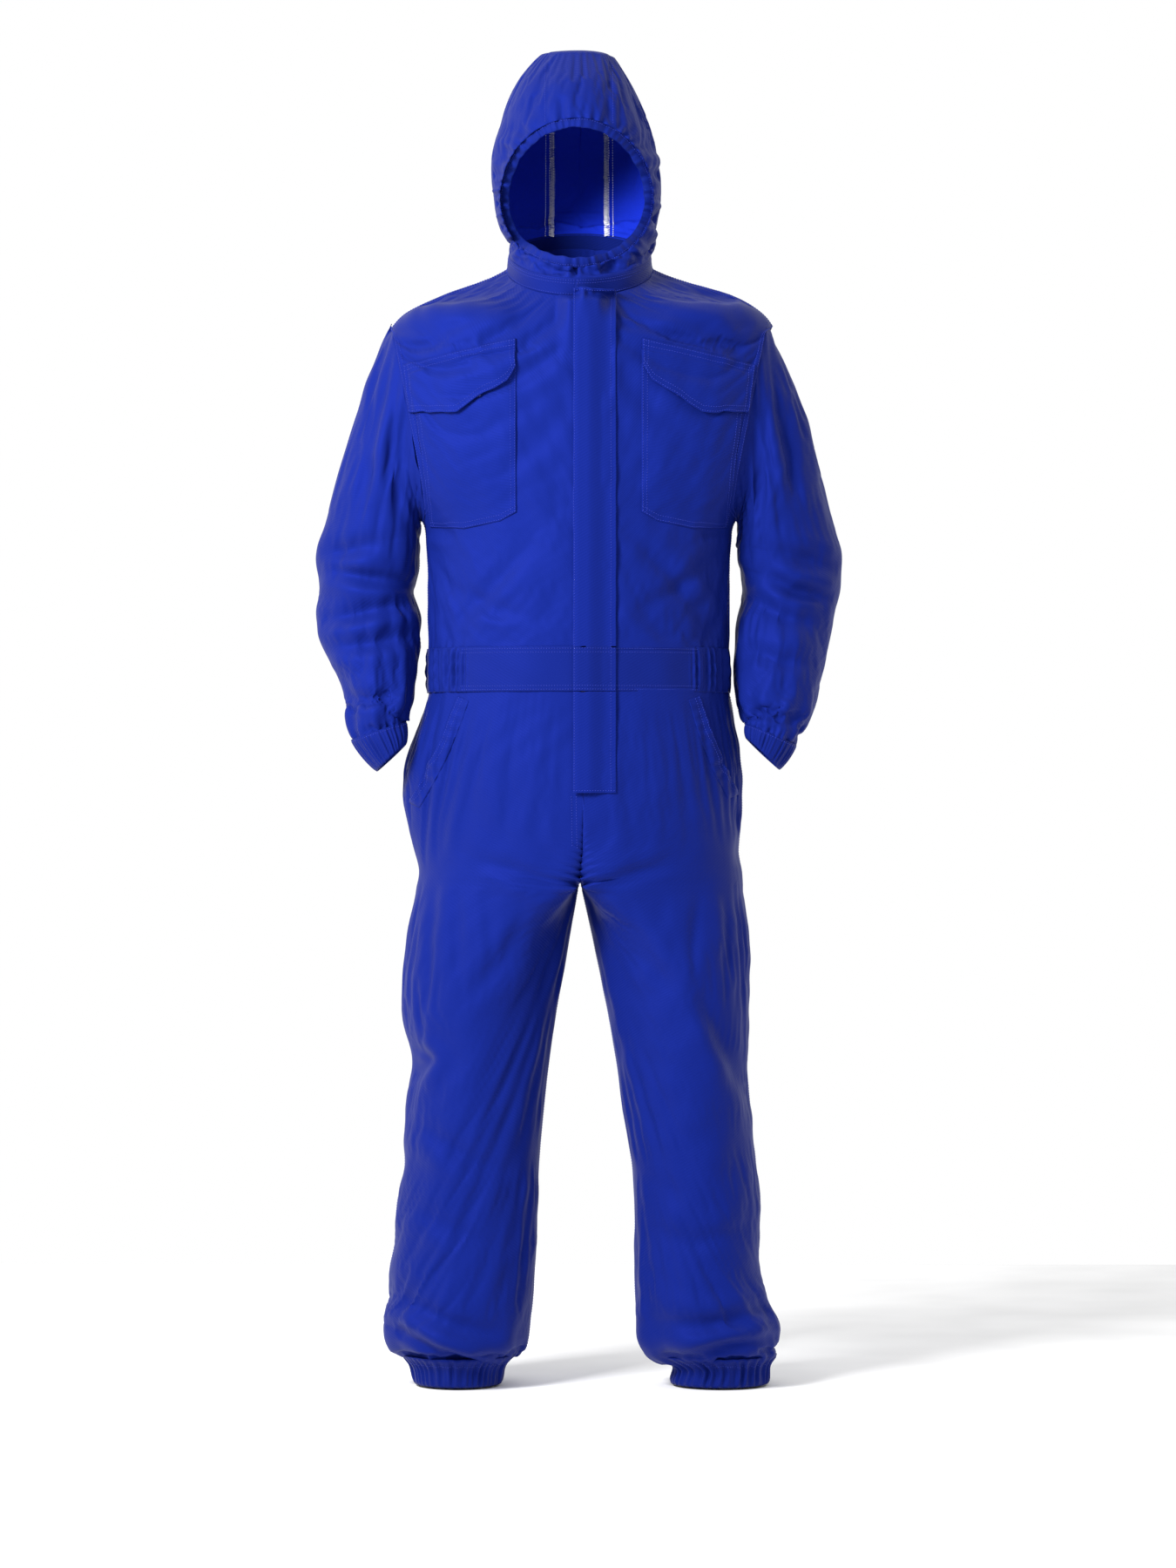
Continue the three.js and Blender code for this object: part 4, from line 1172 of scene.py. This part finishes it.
# bands and flat pieces
band = {"lift": 1.2, "collarCols": 420, "waistCols": 260, "gather": 2.9}


def treeOf(*grids):
    points, faces, start = [], [], 0
    for grid in grids:
        points += [tuple(p) for p in grid.reshape(-1, 3)]
        faces += [tuple(int(i) for i in f) for f in gridFaces(grid.shape[0], grid.shape[1], start)]
        start = len(points)
    return BVHTree.FromPolygons(points, faces)


angle = np.linspace(-0.075, 2 * np.pi + 0.11, band["collarCols"])[None, :]
above = np.linspace(-1.0, neck["height"] + 1, 13)[:, None]
slant = 0.05 * (above / neck["height"]) * np.exp(-(angle + 0.075) / 0.12)
collarGrid = neckPoint(angle + slant + 0 * above, above)
outward = neckPoint(angle, 0 * angle) - np.array([0, 0, 0])
outward[..., 2] = 0
outward /= np.linalg.norm(outward, axis=2, keepdims=True)
overlap = 2.6 * (1 - smoothStep(angle, 0.05, 0.35)) - 0.4 * smoothStep(angle, 2 * np.pi - 0.3, 2 * np.pi)
wave = 0.7 * ripple(angle / (2 * np.pi) + 0 * above, 9, 120) * np.sin(np.pi * np.clip(above / 20, 0, 1))
collarGrid = collarGrid + outward * (band["lift"] + overlap + wave)[..., None]
addPiece("collar_band", collarGrid, np.array([0, 0, 5.0]), bandTwill, ["collar_band"], False, 1.3)
collarNormals, _ = facing(collarGrid, np.array([0, 0, 5.0]))
for inset in (3.0, 6.5):
    addRun("collar", edgeRun(collarGrid, collarNormals, "bottom", inset))
addRun("collar", edgeRun(collarGrid, collarNormals, "top", 2.5))
addRun("collar", edgeRun(collarGrid, collarNormals, "first", 2.5))

heights = np.linspace(waistTop + 0.5, waistBottom - 0.5, 30)[:, None]
waistMiddle = np.array([0.0, 0.0, (waistTop + waistBottom) / 2])


def waistGrid(side):
    right, left, front, rear = alongProfile(bodySections, heights)
    width = left if side > 0 else right
    edge = closureX + side * 3
    x = np.linspace(side * edge, 1, band["waistCols"])[None, :]
    x = side * edge + (width - side * edge) * np.linspace(0, 1, band["waistCols"])[None, :]
    turned = np.arcsin(np.clip(x / width, -1, 1))
    grid = np.stack([side * x, -front * np.cos(turned), heights + 0 * x], -1)
    grid[:, -1, 1] = 0
    return grid


def gatheredBand(grid, seed, mask, count):
    normals, _ = facing(grid, waistMiddle)
    share = np.linspace(0, 1, grid.shape[1])[None, :] + 0 * grid[..., 0]
    t = np.linspace(0, 1, grid.shape[0])[:, None]
    rows = 0.55 + 0.45 * np.abs(np.sin(3 * np.pi * t))
    belly = np.sin(np.pi * np.clip(t, 0.02, 0.98)) ** 0.5
    fine = ripple(share + 0.0008 * np.sin(14 * t), count, seed) * rows
    fine += 0.7 * ripple(share, count / 2.6, seed + 1) * belly
    lift = band["lift"] + mask(grid) * (band["gather"] * fine * belly + 1.2) + 0.35 * swell(grid, seed + 2,
                                                                                            50, 1.0)
    moved = grid + normals * lift[..., None]
    return moved, facing(moved, waistMiddle)[0]


waistGrids = {}
for side, name in ((1, "left"), (-1, "right")):
    grid, normals = gatheredBand(waistGrid(side), 131 + side, sideOnly(132, 146), 30)
    waistGrids[side] = grid
    addPiece(f"waistband_front_{name}", grid, waistMiddle, bandTwill, [f"waistband_front_{name}"], False,
             1.4)
    for edge, inset in (("top", 2.5), ("top", 7.0), ("bottom", 2.5), ("bottom", 7.0)):
        addRun("waist", edgeRun(grid, normals, edge, inset, span=(0, 0.78)))
turned = np.linspace(-1, 1, 2 * band["waistCols"])[None, :] * np.pi / 2
right, left, front, rear = alongProfile(bodySections, heights)
grid = np.stack([np.where(turned > 0, left, right) * np.sin(turned), rear * np.cos(turned),
                 heights + 0 * turned], -1)
grid, normals = gatheredBand(grid, 141, lambda g: 1.0, 86)
addPiece("waistband_back", grid, waistMiddle, bandTwill, ["waistband_back", "waist_elastic"], False, 1.4)
for edge in ("top", "bottom"):
    addRun("waist", edgeRun(grid, normals, edge, 2.5))

frontTree = treeOf(frontPanels[1][0], frontPanels[-1][0])
hipTree = treeOf(legPanels[1][0], legPanels[-1][0])
waistTree = treeOf(waistGrids[1], waistGrids[-1])


def surface(tree, x, z):
    # where a line from the front meets the cloth, and the cloth's normal there
    points, out = np.zeros(x.shape + (3,)), np.zeros(x.shape + (3,))
    for index in np.ndindex(x.shape):
        hit, normal, _, _ = tree.ray_cast(Vector((x[index], -400, z[index])), Vector((0, 1, 0)))
        if hit is None:
            hit, normal, _, _ = tree.find_nearest(Vector((x[index], -125, z[index])))
        normal = -normal if normal[1] > 0 else normal
        points[index] = (x[index], hit[1], z[index])
        out[index] = normal
    return points, out


def smoothed(grid, times):
    out = grid.copy()
    for _ in range(times):
        out[1:-1] = (out[:-2] + 2 * out[1:-1] + out[2:]) / 4
        out[:, 1:-1] = (out[:, :-2] + 2 * out[:, 1:-1] + out[:, 2:]) / 4
    return out


def between(upper, lower, rows, cols):
    # a grid between two outlines of (x, z), its columns running from one to the other
    def spread(path):
        path = np.array(path, float)
        far = np.concatenate([[0], np.cumsum(np.linalg.norm(np.diff(path, axis=0), axis=1))])
        at = np.linspace(0, far[-1], cols)
        return np.stack([np.interp(at, far, path[:, 0]), np.interp(at, far, path[:, 1])], -1)
    t = np.linspace(0, 1, rows)[:, None, None]
    return spread(upper)[None] * (1 - t) + spread(lower)[None] * t


behind = np.array([0, 50.0, 0])  # any point behind a flat piece tells its back from its face


def laidOn(tree, flat, lift, times=3):
    points, normals = surface(tree, flat[..., 0], flat[..., 1])
    depth = smoothed(points[..., 1:2], times)
    points[..., 1] = np.minimum(points[..., 1], depth[..., 0])
    normals = smoothed(normals, times)
    normals /= np.linalg.norm(normals, axis=2, keepdims=True)
    points = points + normals * (lift if np.ndim(lift) else np.full(points.shape[:2], lift))[..., None]
    return points, facing(points, points + behind)[0]


def mirror(path, side):
    return [(side * x, z) for x, z in path]


# chest pockets, their flaps and the closures under them
pocket = {"upper": [(76, -108), (206, -135)], "lower": [(76, -306), (96, -317), (140, -325), (182, -321)],
          "puff": 3.4}
flap = {"upper": [(77, -95), (216, -124)], "lower": [(77, -128), (88, -146), (148, -184), (207, -182)],
        "stand": 2.0}
patch = {"upper": [(120, -148), (165, -154)], "lower": [(120, -164), (165, -171)]}
for side, name in ((1, "left"), (-1, "right")):
    s, t = np.linspace(0, 1, 90)[None, :], np.linspace(0, 1, 130)[:, None]
    puff = pocket["puff"] * np.sin(np.pi * s) ** 0.7 * np.sin(np.pi * np.clip(t, 0, 1)) ** 0.6
    flat = between(mirror(pocket["upper"], side), mirror(pocket["lower"], side), 130, 90)
    slack = swell(np.dstack([flat[..., 0], 0 * flat[..., 0], flat[..., 1]]), 151 + side, 70, 0.5)
    grid, normals = laidOn(frontTree, flat, 1.0 + puff + slack)
    addPiece(f"chest_pocket_{name}", grid, grid + behind, twill, [f"chest_pocket_{name}"], False, 0.9)
    for edge in ("first", "last", "bottom"):
        for inset in (2.0, 7.5):
            addRun("pocket", edgeRun(grid, normals, edge, inset))
    s, t = np.linspace(0, 1, 100)[None, :], np.linspace(0, 1, 60)[:, None]
    cup = flap["stand"] * np.sin(np.pi * s) ** 0.5 * t + 1.3 * np.exp(-((s - 0.16) / 0.12) ** 2) * t**2
    grid, normals = laidOn(treeOf(grid, frontPanels[side][0]),
                           between(mirror(flap["upper"], side), mirror(flap["lower"], side), 60, 100),
                           2.2 + 1.6 * t + cup, 6)
    addPiece(f"pocket_flap_{name}", grid, grid + behind, twill, [f"pocket_flap_{name}"], False, 1.2)
    for edge in ("top", "bottom", "first", "last"):
        for inset in (2.2, 8.0):
            addRun(f"flap_{name}", edgeRun(grid, normals, edge, inset))
    small = between(mirror(patch["upper"], side), mirror(patch["lower"], side), 12, 24)
    flapTree = treeOf(grid)
    under, _ = laidOn(flapTree, small, -1.4, 0)
    addPiece(f"hook_patch_{name}", under, under + behind, fuzzFinish, [f"hook_patch_{name}"], False, 0.4)
    lower, _ = laidOn(flapTree, small, -2.4, 0)
    addPiece(f"loop_patch_{name}", lower, lower + behind, fuzzFinish, [f"loop_patch_{name}"], False, 0.4)

# the flaps over the zip: a soft ridge where they pass over it
cover = {"ridge": 5.0, "edge": 3.4, "flat": 1.7, "clear": 131.4}


def coverPiece(name, tree, top, bottom, rows, finish, node, group, seed):
    flat = between([(flapFree, top), (flapSewn, top)], [(flapFree, bottom), (flapSewn, bottom)], rows, 48)
    x = flat[..., 0]
    lift = cover["flat"] + (cover["ridge"] - cover["flat"]) * np.exp(-((x - closureX) / 11.0) ** 2)
    lift = np.where(x < closureX, np.maximum(lift, cover["edge"]), lift)
    share = np.linspace(0, 1, rows)[:, None] + 0 * x
    pucker = ripple(share, (top - bottom) / 40, seed) * (0.12 + 0.3 * np.exp(-((x - flapFree) / 10) ** 2))
    pucker += 0.25 * ripple(share, (top - bottom) / 9, seed + 1) * np.exp(-((x - 41.5) / 4) ** 2)
    grid, _ = laidOn(tree, flat, lift + pucker, 4)
    over = smoothStep(-flat[..., 1], 44, 84) * (1 - smoothStep(-flat[..., 1], 700, 720))
    ridge = -(cover["clear"] - (cover["clear"] - 125.5) * smoothStep(np.abs(x - closureX), 5, 30))
    grid[..., 1] = np.where(over > 0, np.minimum(grid[..., 1], ridge * over + grid[..., 1] * (1 - over)),
                            grid[..., 1])
    grid = smoothed(grid, 2)
    normals, _ = facing(grid, grid + behind)
    addPiece(name, grid, grid + behind, finish, [node], False, 0.8)
    addRun(group, edgeRun(grid, normals, "last", 6.5))
    addRun(group, edgeRun(grid, normals, "first", 1.6))
    return grid, normals


placketGrid, placketNormals = coverPiece("placket", frontTree, placketTop + 15, waistTop - 1, 260, twill,
                                         "placket", "placket", 161)
addRun("placket", edgeRun(placketGrid, placketNormals, "top", 3.0))
tabGrid, tabNormals = coverPiece("waist_tab", waistTree, waistTop + 0.5, waistBottom - 0.5, 44, bandTwill,
                                 "waist_tab", "tab", 165)
for edge in ("top", "bottom"):
    for inset in (2.5, 7.0):
        addRun("tab", edgeRun(tabGrid, tabNormals, edge, inset))
flyGrid, flyNormals = coverPiece("fly_flap", hipTree, waistBottom - 1, flyBottom - 11, 90, twill,
                                 "fly_flap", "fly", 169)
addRun("fly", edgeRun(flyGrid, flyNormals, "bottom", 3.0))

# slant side pockets: a bound edge over a gape, and the bag behind it
mouth = {"top": (148, -529), "bottom": {1: (197, -650), -1: (210, -660)}, "width": 15.0}
for side, name in ((1, "left"), (-1, "right")):
    a, b = np.array(mouth["top"]) * [side, 1], np.array(mouth["bottom"][side]) * [side, 1]
    bend = np.array([-side * 4.0, -3.0])
    t = np.linspace(0, 1, 90)[:, None]
    path = a + (b - a) * t + bend * np.sin(np.pi * t)
    across = np.array([-(b - a)[1], (b - a)[0]]) / np.linalg.norm(b - a)
    across *= -side * np.sign(across[0]) if across[0] else 1
    s = np.linspace(0, 1, 14)[None, :, None]
    flat = path[:, None] + across[None, None] * mouth["width"] * s
    rise = 3.6 * np.sin(np.pi * np.clip(t, 0.0, 1.0)) ** 0.5 * (1 - s[..., 0]) ** 1.3
    grid, normals = laidOn(hipTree, flat, 0.5 + rise + 0.4 * ripple(t + 0 * s[..., 0], 9, 181), 3)
    addPiece(f"pocket_edge_{name}", grid, grid + behind, twill, [], False, 1.6)
    for inset in (2.5, 8.5):
        addRun("side_pocket", edgeRun(grid, normals, "first", inset))
    bag = between(mirror([(112, -545), (160, -545)], side),
                  mirror([(116, -732), (150, -732), (176, -700)], side), 40, 30)
    grid, _ = laidOn(hipTree, bag, -9.0, 8)
    addPiece(f"pocket_bag_{name}", grid, grid + behind, lining, [f"pocket_bag_{name}"], False, 3.0)
print("bands, pockets and flaps made")

# seam of the front below the fly, sewn twice
for shift in (-2.2, 3.6):
    addRun("trouser_front", castRun(hipTree, line((-7 + shift, flyBottom - 14), (-6 + shift, -716), 80),
                                    (0, 1, 0), -400, 0.3))

# thread
stitchObjects = {}
# the stitches use the thread painted lighter as a highlight
for group, rows in runs.items():
    stitchObjects[group] = stitchMesh(f"stitching_{group}", rows, paintedHighlightThread)


def cordTube(points, radius, sides=5):
    points = np.asarray(points, float)
    d = np.gradient(points, axis=0)
    d /= np.maximum(np.linalg.norm(d, axis=1, keepdims=True), 1e-9)
    helper = np.where(np.abs(d[:, [1]]) < 0.9, np.array([[0.0, 1.0, 0.0]]), np.array([[1.0, 0.0, 0.0]]))
    a = np.cross(d, helper)
    a /= np.linalg.norm(a, axis=1, keepdims=True)
    b = np.cross(d, a)
    turn = np.linspace(0, 2 * np.pi, sides + 1)[:-1]
    ring = points[:, None] + radius * (a[:, None] * np.cos(turn)[None, :, None] + b[:, None]
                                       * np.sin(turn)[None, :, None])
    n = len(points)
    i, j = np.meshgrid(np.arange(n - 1), np.arange(sides), indexing="ij")
    nxt = (j + 1) % sides
    faces = np.stack([i * sides + j, i * sides + nxt, (i + 1) * sides + nxt, (i + 1) * sides + j],
                     -1).reshape(-1, 4)
    return ring.reshape(-1, 3), faces


tubes, tubeFaces, start = [], [], 0
lineRuns = []
for kind, points, normals in paleRuns:
    if kind == "line":
        lineRuns.append((points, normals))
        continue
    ring, faces = cordTube(points, 0.8)
    tubes.append(ring)
    tubeFaces.append(faces + start)
    start += len(ring)
overlock = meshFrom("overlock_loops", np.concatenate(tubes), np.concatenate(tubeFaces))
overlock.data.materials.append(paleThread)
overlockLines = stitchMesh("overlock_lines", lineRuns, paleThread, 3.2, 2.7, 1.5)
print("stitches", sum(len(o.data.polygons) for o in stitchObjects.values()))

# zip parts keep their modelled shape
finishes = {"zip_tape_left": tapeFinish, "zip_tape_right": tapeFinish, "zip_teeth_left": coilFinish,
            "zip_teeth_right": coilFinish, "zip_slider": enamelFinish, "zip_pull": enamelFinish,
            "zip_stop": enamelFinish}
for node, finish in finishes.items():
    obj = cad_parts[node]
    for slot in obj.material_slots:
        slot.link = "OBJECT"
        slot.material = finish


def blendHood(obj):
    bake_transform(obj)


def blendArm(obj):
    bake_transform(obj)


def blendLeg(obj):
    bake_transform(obj)


for name in ("hood_shell", "hood_rim"):
    blendHood(pieces[name])
for obj in (overlock, overlockLines, stitchObjects["hood"]):
    blendHood(obj)
for side, name in ((1, "left"), (-1, "right")):
    for obj in (pieces[f"sleeve_{name}"], pieces[f"cuff_{name}"], stitchObjects[f"sleeve_{name}"]):
        blendArm(obj)
    for obj in (pieces[f"trouser_{name}"], pieces[f"hem_{name}"], stitchObjects[f"trouser_{name}"]):
        blendLeg(obj)
    for obj in (pieces[f"pocket_flap_{name}"], pieces[f"hook_patch_{name}"], stitchObjects[f"flap_{name}"]):
        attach(obj, f"chest_flap_{name}")
    for part in ("bodice_front", "waistband_front", "chest_pocket", "loop_patch", "pocket_edge",
                 "pocket_bag"):
        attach(pieces[f"{part}_{name}"], "suit")
    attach(stitchObjects[f"bodice_{name}"], "suit")
for name in ("bodice_back", "collar_band", "waistband_back"):
    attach(pieces[name], "suit")
for group in ("bodice_back", "collar", "waist", "pocket", "side_pocket", "trouser_front"):
    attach(stitchObjects[group], "suit")
for name, group, body in (("placket", "placket", "placket_flap"), ("waist_tab", "tab", "tab_flap"),
                          ("fly_flap", "fly", "fly_cover")):
    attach(pieces[name], body)
    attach(stitchObjects[group], body)


def sheetFacts(obj):
    # width and length of the flat cut from the cloth coordinates, and its area, in metres
    mesh = obj.data
    uv = np.zeros(len(mesh.loops) * 2)
    mesh.uv_layers["cloth"].data.foreach_get("uv", uv)
    uv = uv.reshape(-1, 2)
    size = uv.max(axis=0) - uv.min(axis=0)
    areas = np.zeros(len(mesh.polygons))
    mesh.polygons.foreach_get("area", areas)
    area = areas.sum() / 2
    width, length = float(size[0]), float(size[1])
    if area > width * length:
        grow = math.sqrt(area / (width * length)) * 1.001
        width, length = width * grow, length * grow
    return (round(width, 4), round(length, 4)), round(float(max(area, 0.3 * width * length)), 6)


hungFrom = {"bodice": ("hung", "collar_band"), "sleeve": ("hung", "bodice_back"),
            "cuff": ("gathered", "sleeve_left"),
            "trouser": ("hung", "waistband_back"), "hem": ("gathered", "trouser_left"),
            "hood_shell": ("gathered", "collar_band"),
            "hood_rim": ("gathered", "hood_shell"), "collar": ("stretched", "bodice_back"),
            "waistband": ("gathered", "bodice_back"),
            "chest": ("stretched", "bodice_front_left"), "pocket_flap": ("hung", "bodice_front_left"),
            "hook": ("stretched", "pocket_flap_left"), "loop": ("stretched", "chest_pocket_left"),
            "placket": ("hung", "bodice_front_left"),
            "waist_tab": ("stretched", "waistband_front_left"), "fly": ("hung", "trouser_left"),
            "pocket_edge": ("folded", "trouser_left"), "pocket_bag": ("hung", "trouser_left")}
for name, obj in pieces.items():
    held, on = next(v for k, v in hungFrom.items() if name.startswith(k))
    on = on.replace("left", "right") if name.endswith("right") else on
    flat, area = sheetFacts(obj)
    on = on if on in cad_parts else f"cloth_{on}"

# floor, sky and light
floorLevel = round(low("hem_left", 2)) - 4.0
floor = meshFrom("floor", [(-2600, -2600, floorLevel), (2600, -2600, floorLevel), (2600, 1500, floorLevel),
                           (-2600, 1500, floorLevel)], np.array([[0, 1, 2, 3]]))
floor.data.materials.append(plainFinish("studio_floor", "#f4f4f4", 0.9, 0, 4, 0.0))
world = bpy.data.worlds.new("sky")
world.use_nodes = True
world.node_tree.nodes["Background"].inputs[0].default_value = (1, 1, 1, 1)
world.node_tree.nodes["Background"].inputs[1].default_value = 1.0
scene.world = world
lighting = {"power": 110.0, "side": 0.8, "at": (-1.35, -1.7, 0.5), "towards": (0.0, 0.0, -0.55)}
lampData = bpy.data.lights.new("key", "AREA")
lampData.energy = lighting["power"]
lampData.size = lighting["side"]
lamp = bpy.data.objects.new("key", lampData)
lamp.location = lighting["at"]
lamp.rotation_euler = (Vector(lighting["at"]) - Vector(lighting["towards"])).to_track_quat("Z",
                                                                                           "Y").to_euler()
scene.collection.objects.link(lamp)
